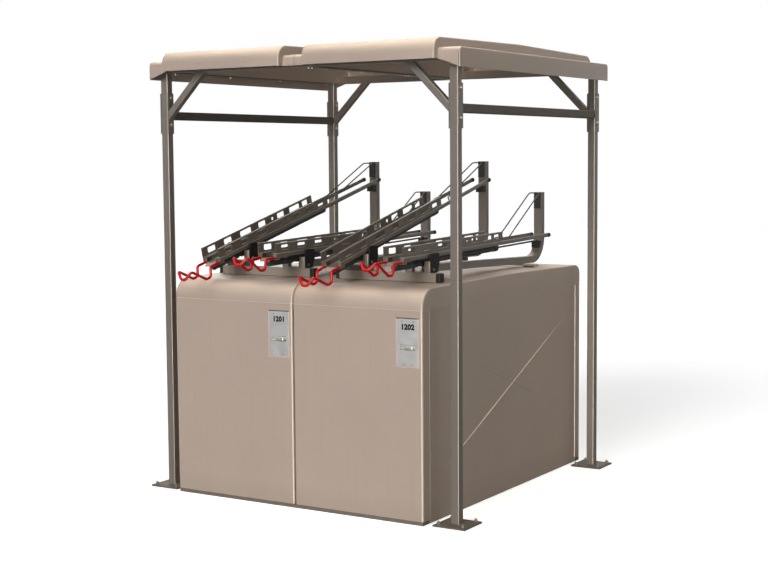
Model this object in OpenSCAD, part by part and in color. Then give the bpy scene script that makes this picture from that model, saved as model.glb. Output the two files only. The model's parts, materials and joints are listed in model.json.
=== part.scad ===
// Two-tier bike rack: two-bay bike locker below, four pull-out trays above, four-post canopy over it.
// Millimetres. X to the right, Y to the back, Z up, origin on the ground under the middle.

/* [Canopy] */
// Distance from the locker's side to the middle of the posts
post_side_gap = 142.6; // [130:0.2:300]
// Distance from the face of the locker back to the middle of the posts
post_end_inset = 127.4; // [100:0.2:200]
// Outside size of the square post tube
post_size = 50.8; // [40:0.2:80]
// Wall of the square tubes
tube_wall = 3; // [2:0.5:6]
// Height of the top of the posts
post_top = 2560; // [2400:10:3000]
// Side of the square base plates
base_plate_size = 203; // [150:1:260]
// Thickness of the base plates
base_plate_thickness = 10; // [6:1:16]
// Spacing of the anchor holes in a base plate
anchor_spacing = 152.4; // [110:0.2:200]
// Diameter of the anchor holes
anchor_hole = 14; // [10:1:22]
// Height of the underside of the side rails
side_rail_z = 2275; // [1900:5:2400]
// Size of the square brace tube
brace_size = 42; // [30:1:50]
// Rise of a brace from the top of its foot to the roof frame
brace_run = 224; // [150:1:400]
// Height of the brace plates on the posts
brace_plate_height = 246; // [180:2:320]
// Thickness of the brace plates
brace_plate_thickness = 6; // [4:1:10]

/* [Roof panels] */
// Wall of the moulded roof panels
roof_wall = 5; // [3:0.5:8]
// How far the roof skirt stands out beyond the posts at the sides
roof_side_overhang = 44; // [20:1:120]
// How far the raised roof stands out beyond the posts at front and back
roof_end_overhang = 97; // [60:1:200]
// Width of the flat valley between the two raised parts
valley_width = 158; // [100:2:300]
// Width of the flat flange outside each raised part
flange_width = 135; // [80:1:200]
// Height of the raised part's shoulder over the flange
raised_height = 58; // [30:1:120]
// Rise from the ends of the roof to its middle crease
roof_crown = 15; // [5:1:60]
// Radius of the end shoulders of the raised part
roof_shoulder = 80; // [30:1:100]
// Drop of the side skirt below the flange
skirt_drop = 108; // [70:1:160]
// Drop of the end fascia below the flange
fascia_drop = 61; // [40:1:100]

/* [Locker] */
// Width of one locker bay
bay_width = 870; // [700:5:960]
// Depth of the locker front to back
locker_depth = 2080; // [1800:10:2400]
// Height of the locker at its side edges behind the shoulder
locker_height = 1318; // [1000:2:1500]
// Rise from the shoulders to the ridge of the locker top
top_crown = 12; // [4:1:40]
// Radius of the front shoulder of the locker top
front_shoulder = 108; // [50:1:120]
// Radius of the rear shoulder of the locker top
rear_shoulder = 62; // [40:1:100]
// Thickness of the sheet in the locker body
sheet = 4; // [2:0.5:6]
// Thickness of the door sheet
door_sheet = 3; // [1.5:0.5:5]
// Depth of the returns at the edges of the doors
door_return = 72.6; // [50:0.2:90]
// Radius of the doors' upright edges, and distance of the hinge line from them
door_edge = 14; // [8:1:20]
// Height of the base frame under the doors
sill_height = 20; // [12:1:40]
// Gap round the doors
door_gap = 2.5; // [1.5:0.5:5]
// Diameter of the hinge pins
hinge_pin = 12; // [8:1:16]
// Width of the handle plates
plate_width = 140; // [100:1:180]
// Height of the handle plates
plate_height = 265; // [180:1:320]
// Distance from the top of the locker's sides down to the handle plates' lower edge
plate_drop = 432; // [400:2:700]
// Width of the grip opening in a handle plate
grip_width = 99; // [70:1:110]
// Height of the grip opening
grip_height = 29; // [24:1:45]

/* [Trays] */
// Distance between the two trays of a bay
tray_pitch = 416; // [300:2:430]
// Slope of the low trays
low_tilt = 1.5; // [0.5:0.5:5]
// Slope of the high trays
high_tilt = 14; // [8:0.5:16]
// How much higher the brackets of the high trays stand
high_riser = 30; // [20:1:60]
// Outside width of a tray
tray_width = 124; // [100:1:140]
// Length of a tray from its front lip to the end of the sides
tray_length = 1400; // [1200:10:1500]
// Height of the pierced sides of a tray
side_height = 56; // [40:1:80]
// Thickness of the tray sheet
tray_sheet = 3; // [2:0.5:4]
// Height of the low wheel stops over the tail rods that rest on them
low_stop_rise = 319; // [250:1:450]
// Height of the high wheel stops over the tail rods that rest on them
high_stop_rise = 161; // [150:1:300]
// Distance from the face of the locker back to the front cross rail
cross_inset = 335; // [300:5:500]
// How far the cross rails reach beyond the middle of a tray
cross_reach = 122; // [105:1:140]
// Distance from the back of the locker to the wheel stops
stop_inset = 178; // [150:2:300]
// Width of the guide rails
rail_width = 56; // [44:1:64]
// Height of the guide rails
rail_height = 44; // [36:1:60]
// Diameter of the handle wire
wire = 14; // [8:1:16]

/* [Hidden] */

$fn = 48;
far = 4000;

// Canopy frame
px = bay_width + post_side_gap;
py = locker_depth / 2 - post_end_inset;
post_out_x = px + post_size / 2;
post_in_x = px - post_size / 2;
post_out_y = py + post_size / 2;
post_in_y = py - post_size / 2;
beam_top = post_top + post_size;
brace_drop = brace_size * sqrt(2);
brace_foot = post_top - brace_run - brace_drop;
brace_plate_z = brace_foot + brace_drop / 2 + 7 - brace_plate_height / 2;
brace_bolt_low = brace_plate_z + 57;
brace_bolt_high = brace_plate_z + brace_plate_height - 26;
frame_bolt = 10;

// Roof panels
gasket = 10;
flange_under = beam_top + gasket;
flange_top = flange_under + roof_wall;
roof_out_x = post_out_x + roof_side_overhang;
raised_in = valley_width / 2;
raised_out = roof_out_x - flange_width;
raised_y = post_out_y + roof_end_overhang;
flange_y = raised_y - 43;
roof_ridge = flange_top + raised_height + roof_crown;
flange_edge = 22;
raised_edge = 12;
raised_corner = 10;
flange_corner = 12;
roof_gap = 3;

// Locker
hy = locker_depth / 2;
top_ridge = locker_height + top_crown;
top_slope = atan(top_crown / (hy - front_shoulder));
door_z = sill_height + door_gap;
header_z = locker_height - front_shoulder - 10;
plate_z = locker_height - plate_drop;
door_height = header_z - door_gap - door_z;
door_width = bay_width - 4;
door_left = 3;
side_y = hy - door_return - 2.4;
hinge_fit = 0.06;
part_y = side_y - 12;
part_flat = hy - front_shoulder - 10;
part_top = top_ridge - sheet - part_flat * tan(top_slope);
part_end = part_top - 4;
latch_side = door_width - plate_width / 2 - 22;
plate_sheet = 3;
cup_depth = 23;
cup_wall = 3;
grip_z = plate_z + 91;
paddle_pin = 4;
paddle_width = grip_width - 3;
paddle_axis_z = grip_z + grip_height - 4.5;
paddle_axis_y = 4;
paddle_thick = 4;
paddle_drop = grip_height - 15;

// Top rails
rail_wall = 3;
cross_size = 50.8;
cross_front = -hy + cross_inset;
cross_back = cross_front + cross_size;
cross_z = locker_height + 7;
cross_top = cross_z + cross_size;
cross_half = tray_pitch / 2 + cross_reach;
cap_length = 26;
rail_slope = 1.5;
rail_step = 0.2;
rail_lift = 3;

// Trays
pivot_y = cross_back + 4;
pivot_rise = 60;
trunnion = 20;
bracket_in = tray_width / 2 + 18;
bracket_sheet = 8;
bracket_out = bracket_in + bracket_sheet;
bracket_length = 92;
bracket_height = 114;
rail_front = pivot_y + bracket_length / 2 + 12;
bracket_web = 6;
front_l = -320;
rear_l = front_l + tray_length;
trough_z = 13;
trough_half = 36;
ledge_z = trough_z + 43;
side_top = ledge_z + side_height;
slide_half = 15;
slide_low = -8;
foot_half = 22;
foot_low = -12;
slide_rear = 860;
stop_front = hy - stop_inset;
stop_back = stop_front + rail_height;
bend_in = 125;
pad = 20;
arm_z = 36;
arm_height = 17;
arm_rear = 1545;
cup_front = 905;
cup_z = -9;
tail_z = 6;
wire_z = 25;
wire_half = 50;
dip_z = -30;
horn_z = 53;
sleeve = 38;
tail = 12;
tray_x = [-bay_width / 2 - tray_pitch / 2, -bay_width / 2 + tray_pitch / 2,
  bay_width / 2 - tray_pitch / 2, bay_width / 2 + tray_pitch / 2];
tray_high = [true, false, true, false];

function lift(i) = tray_high[i] ? high_riser : 0;
function tilt(i) = tray_high[i] ? high_tilt : low_tilt;
function pivot_z(i) = cross_top + pivot_rise + lift(i);
function rail_base(i) = cross_top + rail_lift + lift(i);
// Height of a tray's tail rod at the wheel stop, and of the top of that stop
function tail_height(i) = pivot_z(i) + (stop_front - 20 - pivot_y) * tan(tilt(i)) + tail_z / cos(tilt(i));
function stop_top(i) = tail_height(i) + (tray_high[i] ? high_stop_rise : low_stop_rise);
// Height of a guide rail's underside at depth y
function rail_under(i, y) = rail_base(i) - (y - cross_front) * tan(rail_slope);

// A straight piece of wire from a to b
module rod(a, b, d) {
  v = b - a;
  l = norm(v);
  translate(a)
    rotate([0, acos(v[2] / l), atan2(v[1], v[0])])
      cylinder(h = l, d = d);
}

// A bend in a wire, a little fuller than the wire
module ball(p, d) {
  translate(p)
    sphere(d = d + 0.6);
}

// Square tube along X, from x0 to x1, lower front corner at y, z
module tube_x(x0, x1, y, z, s, w) {
  difference() {
    translate([x0, y, z])
      cube([x1 - x0, s, s]);
    translate([x0 - 1, y + w, z + w])
      cube([x1 - x0 + 2, s - 2 * w, s - 2 * w]);
  }
}

module tube_y(x, y0, y1, z, s, w) {
  difference() {
    translate([x, y0, z])
      cube([s, y1 - y0, s]);
    translate([x + w, y0 - 1, z + w])
      cube([s - 2 * w, y1 - y0 + 2, s - 2 * w]);
  }
}

// Side view of a crowned top, drawn in the Y Z plane as x y: depth -a to b, shoulders ra and rb
module crowned(a, b, ridge, fall, ra, rb, low) {
  ca = -a + ra;
  cb = b - rb;
  za = ridge + ca * tan(fall) - ra / cos(fall);
  zb = ridge - cb * tan(fall) - rb / cos(fall);
  polygon([[-a, low], [-a, za], [ca - ra * sin(fall), za + ra * cos(fall)], [0, ridge],
    [cb + rb * sin(fall), zb + rb * cos(fall)], [b, zb], [b, low]]);
  translate([ca, za])
    circle(r = ra);
  translate([cb, zb])
    circle(r = rb);
}

// Pushes a Y Z drawing out along X
module along_x(x0, x1) {
  translate([x0, 0, 0])
    rotate([90, 0, 90])
      linear_extrude(height = x1 - x0)
        children();
}

// Pushes an X Z drawing back along Y
module along_y(y0, y1) {
  translate([0, y1, 0])
    rotate([90, 0, 0])
      linear_extrude(height = y1 - y0)
        children();
}

// Rounded oblong in plan
module round_plan(x0, x1, y0, y1, r) {
  translate([x0 + r, y0])
    square([x1 - x0 - 2 * r, y1 - y0]);
  translate([x0, y0 + r])
    square([x1 - x0, y1 - y0 - 2 * r]);
  for (x = [x0 + r, x1 - r])
    for (y = [y0 + r, y1 - r])
      translate([x, y])
        circle(r = r);
}

// Box seen from the front with two rounded upper corners
module round_top(x0, x1, z0, z1, r) {
  translate([x0, z0])
    square([x1 - x0, z1 - z0 - r]);
  translate([x0 + r, z0])
    square([x1 - x0 - 2 * r, z1 - z0]);
  for (x = [x0 + r, x1 - r])
    translate([x, z1 - r])
      circle(r = r);
}

// Posts

module post(sx, sy) {
  difference() {
    translate([sx * px - post_size / 2, sy * py - post_size / 2, base_plate_thickness])
      cube([post_size, post_size, post_top - base_plate_thickness]);
    translate([sx * px - post_size / 2 + tube_wall, sy * py - post_size / 2 + tube_wall, 0])
      cube([post_size - 2 * tube_wall, post_size - 2 * tube_wall, far]);
    for (z = [brace_bolt_low, brace_bolt_high])
      translate([sx * px, sy * py, z])
        rotate([0, 90, 0])
          cylinder(h = post_size + 4, d = frame_bolt, center = true);
  }
}

module post_front_left() {
  color("#7a6f64")
    post(-1, -1);
}

module post_front_right() {
  color("#7a6f64")
    post(1, -1);
}

module post_rear_left() {
  color("#7a6f64")
    post(-1, 1);
}

module post_rear_right() {
  color("#7a6f64")
    post(1, 1);
}

module base_plates() {
  color("#7a6f64")
    for (sx = [-1, 1])
      for (sy = [-1, 1])
        difference() {
          translate([sx * px, sy * py, base_plate_thickness / 2])
            cube([base_plate_size, base_plate_size, base_plate_thickness], center = true);
          for (ax = [-1, 1])
            for (ay = [-1, 1])
              translate([sx * px + ax * anchor_spacing / 2, sy * py + ay * anchor_spacing / 2, -1])
                cylinder(h = base_plate_thickness + 2, d = anchor_hole);
        }
}

module side_rails() {
  color("#7a6f64")
    for (sx = [-1, 1])
      tube_y(sx * px - post_size / 2, -post_in_y, post_in_y, side_rail_z, post_size, tube_wall);
}

// One brace of the right-hand frame: it leans inwards, up and away from the post
module brace() {
  x0 = post_in_x - brace_plate_thickness;
  intersection() {
    translate([x0, 0, brace_foot + brace_drop / 2])
      rotate([0, 45, 0])
        difference() {
          translate([-2 * brace_run, -brace_size / 2, -brace_size / 2])
            cube([4 * brace_run, brace_size, brace_size]);
          translate([-2 * brace_run - 1, -brace_size / 2 + tube_wall, -brace_size / 2 + tube_wall])
            cube([4 * brace_run + 2, brace_size - 2 * tube_wall, brace_size - 2 * tube_wall]);
        }
    translate([x0 - 2 * brace_run, -brace_size, brace_foot - 10])
      cube([2 * brace_run, 2 * brace_size, post_top - brace_foot + 10]);
  }
}

module knee_braces() {
  color("#7a6f64")
    for (sy = [-1, 1]) {
      translate([0, sy * py, 0])
        brace();
      translate([0, sy * py, 0])
        mirror([1, 0, 0])
          brace();
    }
}

module brace_plates() {
  color("#7a6f64")
    for (sx = [-1, 1])
      for (sy = [-1, 1])
        for (x = [sx * (post_out_x + brace_plate_thickness / 2), sx * (post_in_x - brace_plate_thickness / 2)])
          difference() {
            translate([x, sy * py, brace_plate_z + brace_plate_height / 2])
              cube([brace_plate_thickness, post_size, brace_plate_height], center = true);
            for (z = [brace_bolt_low, brace_bolt_high])
              translate([x, sy * py, z])
                rotate([0, 90, 0])
                  cylinder(h = brace_plate_thickness + 2, d = frame_bolt, center = true);
          }
}

module frame_bolts() {
  shank = post_size + 2 * brace_plate_thickness;
  color("#8b8b88")
    for (sx = [-1, 1])
      for (sy = [-1, 1])
        for (z = [brace_bolt_low, brace_bolt_high])
          translate([sx * px, sy * py, z])
            rotate([0, sx * 90, 0]) {
              translate([0, 0, -shank / 2 - 8])
                cylinder(h = shank + 8, d = frame_bolt);
              translate([0, 0, shank / 2])
                cylinder(h = 6.4, d = 18, $fn = 6);
              translate([0, 0, -shank / 2 - 8])
                cylinder(h = 8, d = 18, $fn = 6);
            }
}

// Roof

module roof_frame() {
  color("#6b6158")
    difference() {
      union() {
        for (sy = [-1, 1])
          translate([-post_out_x, sy * py - post_size / 2, post_top])
            cube([2 * post_out_x, post_size, post_size]);
        for (sx = [-1, 0, 1])
          translate([sx * px - post_size / 2, -post_in_y - 1, post_top])
            cube([post_size, 2 * post_in_y + 2, post_size]);
      }
      for (sy = [-1, 1])
        translate([-post_out_x - 1, sy * py - post_size / 2 + tube_wall, post_top + tube_wall])
          cube([2 * post_out_x + 2, post_size - 2 * tube_wall, post_size - 2 * tube_wall]);
      for (sx = [-1, 0, 1])
        translate([sx * px - post_size / 2 + tube_wall, -post_in_y, post_top + tube_wall])
          cube([post_size - 2 * tube_wall, 2 * post_in_y, post_size - 2 * tube_wall]);
      roof_bolt_places()
        translate([0, 0, post_top - 1])
          cylinder(h = post_size + 2, d = 8);
    }
}

// Where the roof bolts go through flange, gasket and beam
module roof_bolt_places() {
  for (y = [-1, -0.33, 0.33, 1])
    for (x = [-px, -12, 12, px])
      translate([x, y * (post_in_y - 60), 0])
        children();
}

module roof_gaskets() {
  color("#2a2826")
    difference() {
      for (x = [-px, 0, px])
        translate([x - post_size / 2 + 2, -post_in_y, beam_top])
          cube([post_size - 4, 2 * post_in_y, gasket]);
      roof_bolt_places()
        translate([0, 0, beam_top - 1])
          cylinder(h = gasket + 2, d = 8);
    }
}

module roof_bolts() {
  color("#8b8b88")
    roof_bolt_places() {
      translate([0, 0, post_top - 6])
        cylinder(h = flange_top - post_top + 6, d = 8);
      translate([0, 0, flange_top])
        cylinder(h = 4, d = 20);
      translate([0, 0, post_top - 6])
        cylinder(h = 6, d = 13, $fn = 6);
    }
}

// The raised part of the right-hand roof panel, drawn in by t on every side
module raised_solid(t) {
  low = flange_top - fascia_drop;
  intersection() {
    along_x(raised_in + t, raised_out - t)
      crowned(raised_y - t, raised_y - t, roof_ridge - t, atan(roof_crown / (raised_y - roof_shoulder)),
        roof_shoulder - t, roof_shoulder - t, t > 0 ? low - 200 : low);
    along_y(-raised_y, raised_y)
      round_top(raised_in + t, raised_out - t, low - 210, roof_ridge - t + 0.5, raised_edge - t);
    translate([0, 0, low - 210])
      linear_extrude(height = 600)
        round_plan(raised_in + t, raised_out - t, -raised_y + t, raised_y - t, raised_corner - t);
  }
}

// The flat flange with its skirt, drawn in by t
module flange_solid(t) {
  low = flange_top - skirt_drop;
  intersection() {
    along_x(t > 0 ? -20 : roof_gap / 2, roof_out_x - t)
      round_top(-flange_y + t, flange_y - t, t > 0 ? low - 50 : low, flange_top - t, flange_edge - t);
    along_y(-flange_y, flange_y)
      round_top(-400, roof_out_x - t, low - 60, flange_top - t, flange_edge - t);
    translate([0, 0, low - 60])
      linear_extrude(height = 300)
        round_plan(-400, roof_out_x - t, -flange_y + t, flange_y - t, flange_corner - t);
  }
}

module roof_panel() {
  difference() {
    union() {
      raised_solid(0);
      difference() {
        flange_solid(0);
        // the end fascia is shallow and slopes down to the side skirt
        for (sy = [-1, 1])
          along_y(sy * flange_y - 45, sy * flange_y + 45)
            polygon([[-1, 0], [-1, flange_top - fascia_drop], [raised_out, flange_top - fascia_drop],
              [roof_out_x - 8, flange_top - skirt_drop + 4], [roof_out_x - 8, 0]]);
      }
    }
    raised_solid(roof_wall);
    flange_solid(roof_wall);
    roof_bolt_places()
      translate([0, 0, flange_under - 5])
        cylinder(h = roof_wall + 10, d = 8);
  }
}

module roof_panel_right() {
  color("#a89a8d")
    roof_panel();
}

module roof_panel_left() {
  color("#a89a8d")
    mirror([1, 0, 0])
      roof_panel();
}

module roof_joint_cover() {
  color("#a89a8d")
    difference() {
      union() {
        translate([-40, -flange_y + 30, flange_top])
          cube([80, 2 * flange_y - 60, 3]);
      }
      for (y = [-1, -0.33, 0.33, 1])
        for (x = [-12, 12])
          translate([x, y * (post_in_y - 60), flange_top - 1])
            cylinder(h = 6, d = 21);
    }
}

// Locker

module base_frame() {
  w = 40;
  color("#5c534b")
    difference() {
      union() {
        for (sy = [-1, 1])
          translate([-bay_width + sheet, sy * (hy - 4 - w / 2) - w / 2, 0])
            cube([2 * (bay_width - sheet), w, sill_height]);
        for (x = [-bay_width + sheet, -w / 2, bay_width - sheet - w])
          translate([x, -hy + 20, 0])
            cube([w, 2 * hy - 40, sill_height]);
      }
      hinge_places()
        translate([0, 0, sill_height - 12])
          cylinder(h = 20, d = hinge_pin);
    }
}

// Hinge lines of the four doors
module hinge_places() {
  for (a = [0, 180])
    rotate([0, 0, a])
      for (x = [door_left, -bay_width + 1])
        translate([x + door_edge, -hy + door_edge, 0])
          children();
}

module top_profile(t) {
  crowned(hy - t, hy - t, top_ridge - t, top_slope, front_shoulder - t, rear_shoulder - t, 0);
}

module side_panel() {
  along_x(bay_width - sheet, bay_width)
    intersection() {
      top_profile(sheet);
      translate([-side_y, 2])
        square([2 * side_y, far]);
    }
  for (sy = [-1, 1])
    translate([bay_width - sheet - 30, sy * (side_y - 14) - 1.5, sill_height])
      cube([30, 3, header_z - sill_height - 20]);
}

module side_panel_right() {
  color("#8f8175")
    difference() {
      side_panel();
      rivet_places()
        cylinder(h = 20, d = 5, center = true);
    }
}

module side_panel_left() {
  color("#8f8175")
    difference() {
      mirror([1, 0, 0])
        side_panel();
      rivet_places()
        cylinder(h = 20, d = 5, center = true);
    }
}

// Rivets that hold the side panels to their corner flanges
module rivet_places() {
  for (sx = [-1, 1])
    for (y = [-side_y + 23, side_y - 20])
      for (z = [0.04, 0.176, 0.532, 0.888] * header_z)
        translate([sx * (bay_width - sheet / 2), y, z])
          rotate([0, sx * 90, 0])
            children();
}

module panel_rivets() {
  color("#9a8d81")
    rivet_places() {
      translate([0, 0, -sheet / 2 - 2])
        cylinder(h = sheet + 2, d = 5);
      translate([0, 0, sheet / 2])
        cylinder(h = 1.6, d = 11);
      translate([0, 0, -sheet / 2 - 2])
        cylinder(h = 2, d = 8);
    }
}

module centre_partition() {
  color("#8f8175")
    along_x(-2, 2)
      polygon([[-part_y, sill_height], [-part_y, part_end], [-part_flat, part_top], [0, top_ridge - sheet],
        [part_flat, part_top], [part_y, part_end], [part_y, sill_height]]);
}

module diagonal() {
  a = [4, -side_y + 34];
  b = [bay_width - sheet - 2, side_y - 34];
  v = b - a;
  top = locker_height - 20;
  translate([0, 0, sill_height])
    linear_extrude(height = top - sill_height) {
      translate(a)
        rotate(atan2(v[1], v[0]))
          translate([0, -1.5])
            square([norm(v), 3]);
      translate([2, -side_y + 30])
        square([3, 26]);
      translate([bay_width - sheet - 3, side_y - 56])
        square([3, 26]);
    }
}

module diagonal_partitions() {
  color("#8f8175") {
    diagonal();
    translate([-bay_width + 2, 0, 0])
      diagonal();
  }
}

// The right-hand cover before its hinge holes
module cover_shell() {
  difference() {
    along_x(1.5, bay_width)
      intersection() {
        top_profile(0);
        translate([-far, header_z])
          square([2 * far, far]);
      }
    along_x(-1, bay_width + 1)
      top_profile(sheet);
  }
  for (x = [1.5, bay_width - sheet])
    along_x(x, x + sheet)
      difference() {
        intersection() {
          top_profile(sheet / 2);
          translate([-far, header_z])
            square([2 * far, far]);
        }
        translate([-side_y - 2.4, 0])
          square([2 * side_y + 4.8, far]);
      }
  for (sy = [-1, 1])
    translate([2.5, sy * (hy - 1 - 34) - 34, header_z])
      cube([bay_width - 3.5, 68, sheet]);
}

module header_holes() {
  hinge_places()
    translate([0, 0, header_z - 5])
      cylinder(h = 20, d = hinge_pin);
}

module top_cover_right() {
  color("#a89a8d")
    difference() {
      cover_shell();
      header_holes();
    }
}

module top_cover_left() {
  color("#a89a8d")
    difference() {
      mirror([1, 0, 0])
        cover_shell();
      header_holes();
    }
}

module hinge_pins() {
  color("#8b8b88")
    hinge_places() {
      translate([0, 0, sill_height - 12])
        cylinder(h = door_gap + 12 + door_sheet + 6, d = hinge_pin);
      translate([0, 0, header_z - door_gap - door_sheet - 6])
        cylinder(h = door_gap + door_sheet + 6 + sheet + 2, d = hinge_pin);
    }
}

// Plan of a door, drawn in by t, open at the back when t is over zero
module door_plan(t) {
  r = door_edge - t;
  d = t > 0 ? door_return + 5 : door_return;
  translate([t, door_edge])
    square([door_width - 2 * t, d - door_edge]);
  translate([door_edge, t])
    square([door_width - 2 * door_edge, d - t]);
  for (x = [door_edge, door_width - door_edge])
    translate([x, door_edge])
      circle(r = r);
}

// A door with its hinge edge at x = 0 and its face at y = 0
module door_pan() {
  difference() {
    linear_extrude(height = door_height)
      door_plan(0);
    translate([0, 0, door_sheet])
      linear_extrude(height = door_height - 2 * door_sheet)
        door_plan(door_sheet);
    translate([door_edge, door_edge, -1])
      cylinder(h = door_height + 2, d = hinge_pin + 2 * hinge_fit);
    translate([latch_side - grip_width / 2 - cup_wall - 0.5, -1, grip_z - door_z - cup_wall - 0.5])
      cube([grip_width + 2 * cup_wall + 1, door_sheet + 2, grip_height + 2 * cup_wall + 1]);
  }
}

module door_at(x) {
  translate([x, -hy, door_z])
    door_pan();
}

module door_front_right() {
  color("#b4a295")
    door_at(door_left);
}

module door_front_left() {
  color("#b4a295")
    door_at(-bay_width + 1);
}

module door_rear_left() {
  color("#b4a295")
    rotate([0, 0, 180])
      door_at(door_left);
}

module door_rear_right() {
  color("#b4a295")
    rotate([0, 0, 180])
      door_at(-bay_width + 1);
}

// Handle plate with its grip cup, for a door whose hinge edge is at x
module handle_plate_at(x) {
  c = x + latch_side;
  difference() {
    union() {
      translate([c - plate_width / 2, -hy - plate_sheet, plate_z])
        cube([plate_width, plate_sheet, plate_height]);
      translate([c - grip_width / 2 - cup_wall, -hy - 1, grip_z - cup_wall])
        cube([grip_width + 2 * cup_wall, cup_depth + 1, grip_height + 2 * cup_wall]);
    }
    translate([c - grip_width / 2, -hy - plate_sheet - 1, grip_z])
      cube([grip_width, cup_depth + plate_sheet + 1 - cup_wall, grip_height]);
    translate([c, -hy + paddle_axis_y, paddle_axis_z])
      rotate([0, 90, 0])
        cylinder(h = paddle_width + 6, d = paddle_pin + 0.1, center = true);
  }
}

module paddle_at(x) {
  c = x + latch_side;
  translate([c, -hy + paddle_axis_y, paddle_axis_z]) {
    rotate([0, 90, 0])
      cylinder(h = paddle_width, d = 7, center = true);
    rotate([0, 90, 0])
      cylinder(h = paddle_width + 5.4, d = paddle_pin, center = true);
    translate([-paddle_width / 2, -3.5, -paddle_drop])
      cube([paddle_width, paddle_thick, paddle_drop]);
  }
}

module handle_plate_front_right() {
  color("#b5b5b5")
    handle_plate_at(door_left);
}

module handle_plate_front_left() {
  color("#b5b5b5")
    handle_plate_at(-bay_width + 1);
}

module handle_plate_rear_left() {
  color("#b5b5b5")
    rotate([0, 0, 180])
      handle_plate_at(door_left);
}

module handle_plate_rear_right() {
  color("#b5b5b5")
    rotate([0, 0, 180])
      handle_plate_at(-bay_width + 1);
}

module paddle_front_right() {
  color("#6f6f6d")
    paddle_at(door_left);
}

module paddle_front_left() {
  color("#6f6f6d")
    paddle_at(-bay_width + 1);
}

module paddle_rear_left() {
  color("#6f6f6d")
    rotate([0, 0, 180])
      paddle_at(door_left);
}

module paddle_rear_right() {
  color("#6f6f6d")
    rotate([0, 0, 180])
      paddle_at(-bay_width + 1);
}

// Rails on the locker top

rear_bar_y = stop_front - 282;
rear_bar_z = rail_under(1, rear_bar_y + 40) - 12;

module cross_rails() {
  color("#8a7d70")
    difference() {
      for (c = [-bay_width / 2, bay_width / 2]) {
        tube_x(c - cross_half + 2, c + cross_half - 2, cross_front, cross_z, cross_size, rail_wall);
        translate([c - cross_half, rear_bar_y, rear_bar_z])
          cube([2 * cross_half, 40, 10]);
      }
      bracket_bolt_places()
        translate([0, 0, -40])
          cylinder(h = 50, d = 10);
    }
}

// Bolts of the pivot brackets, from the top of the cross rail
module bracket_bolt_places() {
  for (i = [0:3])
    for (s = [-1, 1])
      translate([tray_x[i] + s * (bracket_out - 22), cross_back - 14, cross_top])
        children();
}

module rail_end_caps() {
  color("#161616")
    for (c = [-bay_width / 2, bay_width / 2])
      for (s = [-1, 1]) {
        translate([c + s * (cross_half - 2), cross_front + cross_size / 2, cross_z + cross_size / 2])
          rotate([0, s * 90, 0]) {
            translate([-cross_size / 2, -cross_size / 2, 0])
              cube([cross_size, cross_size, cap_length]);
            translate([-cross_size / 2 + rail_wall, -cross_size / 2 + rail_wall, -15])
              cube([cross_size - 2 * rail_wall, cross_size - 2 * rail_wall, 16]);
          }
      }
}

// Packers between the locker top and the rails, and the shims and risers under the guide rails
module rail_packers() {
  color("#3a3632") {
    for (c = [-bay_width / 2, bay_width / 2])
      for (s = [-1, 1])
        for (b = [0, 1])
          difference() {
            translate([c + s * (cross_half - 60) - 30, b == 0 ? cross_front + 4 : rear_bar_y + 4, locker_height - 10])
              cube([60, b == 0 ? cross_size - 8 : 32, b == 0 ? cross_z - locker_height + 10 : rear_bar_z - locker_height + 10]);
            along_x(-far, far)
              top_profile(0);
          }
    for (i = [0:3])
      difference() {
        translate([tray_x[i] - rail_width / 2 + 2, rear_bar_y + 4, rear_bar_z + 10])
          cube([rail_width - 4, 32, 60]);
        translate([tray_x[i], 0, 0])
          rail_line(i, rail_step, 400);
      }
    difference() {
      for (i = [0, 2])
        translate([tray_x[i] - bracket_out, cross_front + 2, cross_top])
          cube([2 * bracket_out, cross_size - 4, high_riser]);
      bracket_bolt_places()
        translate([0, 0, -1])
          cylinder(h = high_riser + 2, d = 10);
    }
  }
}

// A long block lying on the line of guide rail i, drawn in by t, h tall
module rail_line(i, t, h) {
  translate([0, cross_front, rail_base(i)])
    rotate([-rail_slope, 0, 0])
      translate([-rail_width / 2 + t, -200, t])
        cube([rail_width - 2 * t, far, h - 2 * t]);
}

// Height of the centre of the bend in guide rail i
function bend_z(i) = rail_under(i, stop_front - bend_in) + (bend_in + rail_height) / cos(rail_slope);

// One guide rail with its wheel stop, the middle of the rail at x = 0
module guide_rail(i) {
  top = stop_top(i);
  cy = stop_front - bend_in;
  difference() {
    rail_body(0, top, cy, bend_z(i));
    rail_body(rail_wall, top, cy, bend_z(i));
  }
}

// Solid line of a guide rail, drawn in by t: sloped leg, fuller bend round cy cz, and upright
module rail_body(t, top, cy, cz) {
  run = cy - rail_front + 60;
  reach = 2 * (bend_in + rail_height);
  s = t + rail_step;
  along_x(-rail_width / 2 + s, rail_width / 2 - s) {
    intersection() {
      translate([cy, cz])
        rotate(-rail_slope)
          translate([-run, -bend_in - rail_height + s])
            square([run + 5, rail_height - 2 * s]);
      translate([t > 0 ? rail_front - 1 : rail_front, 0])
        square([far, far]);
    }
    translate([stop_front + s, cz - 5])
      square([rail_height - 2 * s, top - cz + 5 - t]);
  }
  along_x(-rail_width / 2 + t, rail_width / 2 - t)
    intersection() {
      translate([cy, cz])
        difference() {
          circle(r = bend_in + rail_height - t);
          circle(r = bend_in + t);
        }
      polygon([[cy, cz], [cy - reach * sin(rail_slope), cz - reach * cos(rail_slope)],
        [cy + reach, cz - reach], [cy + reach, cz]]);
    }
}

module guide_rails() {
  color("#857868")
    for (i = [0:3])
      translate([tray_x[i], 0, 0])
        guide_rail(i);
}

// Black brackets that carry the pivots

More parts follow.
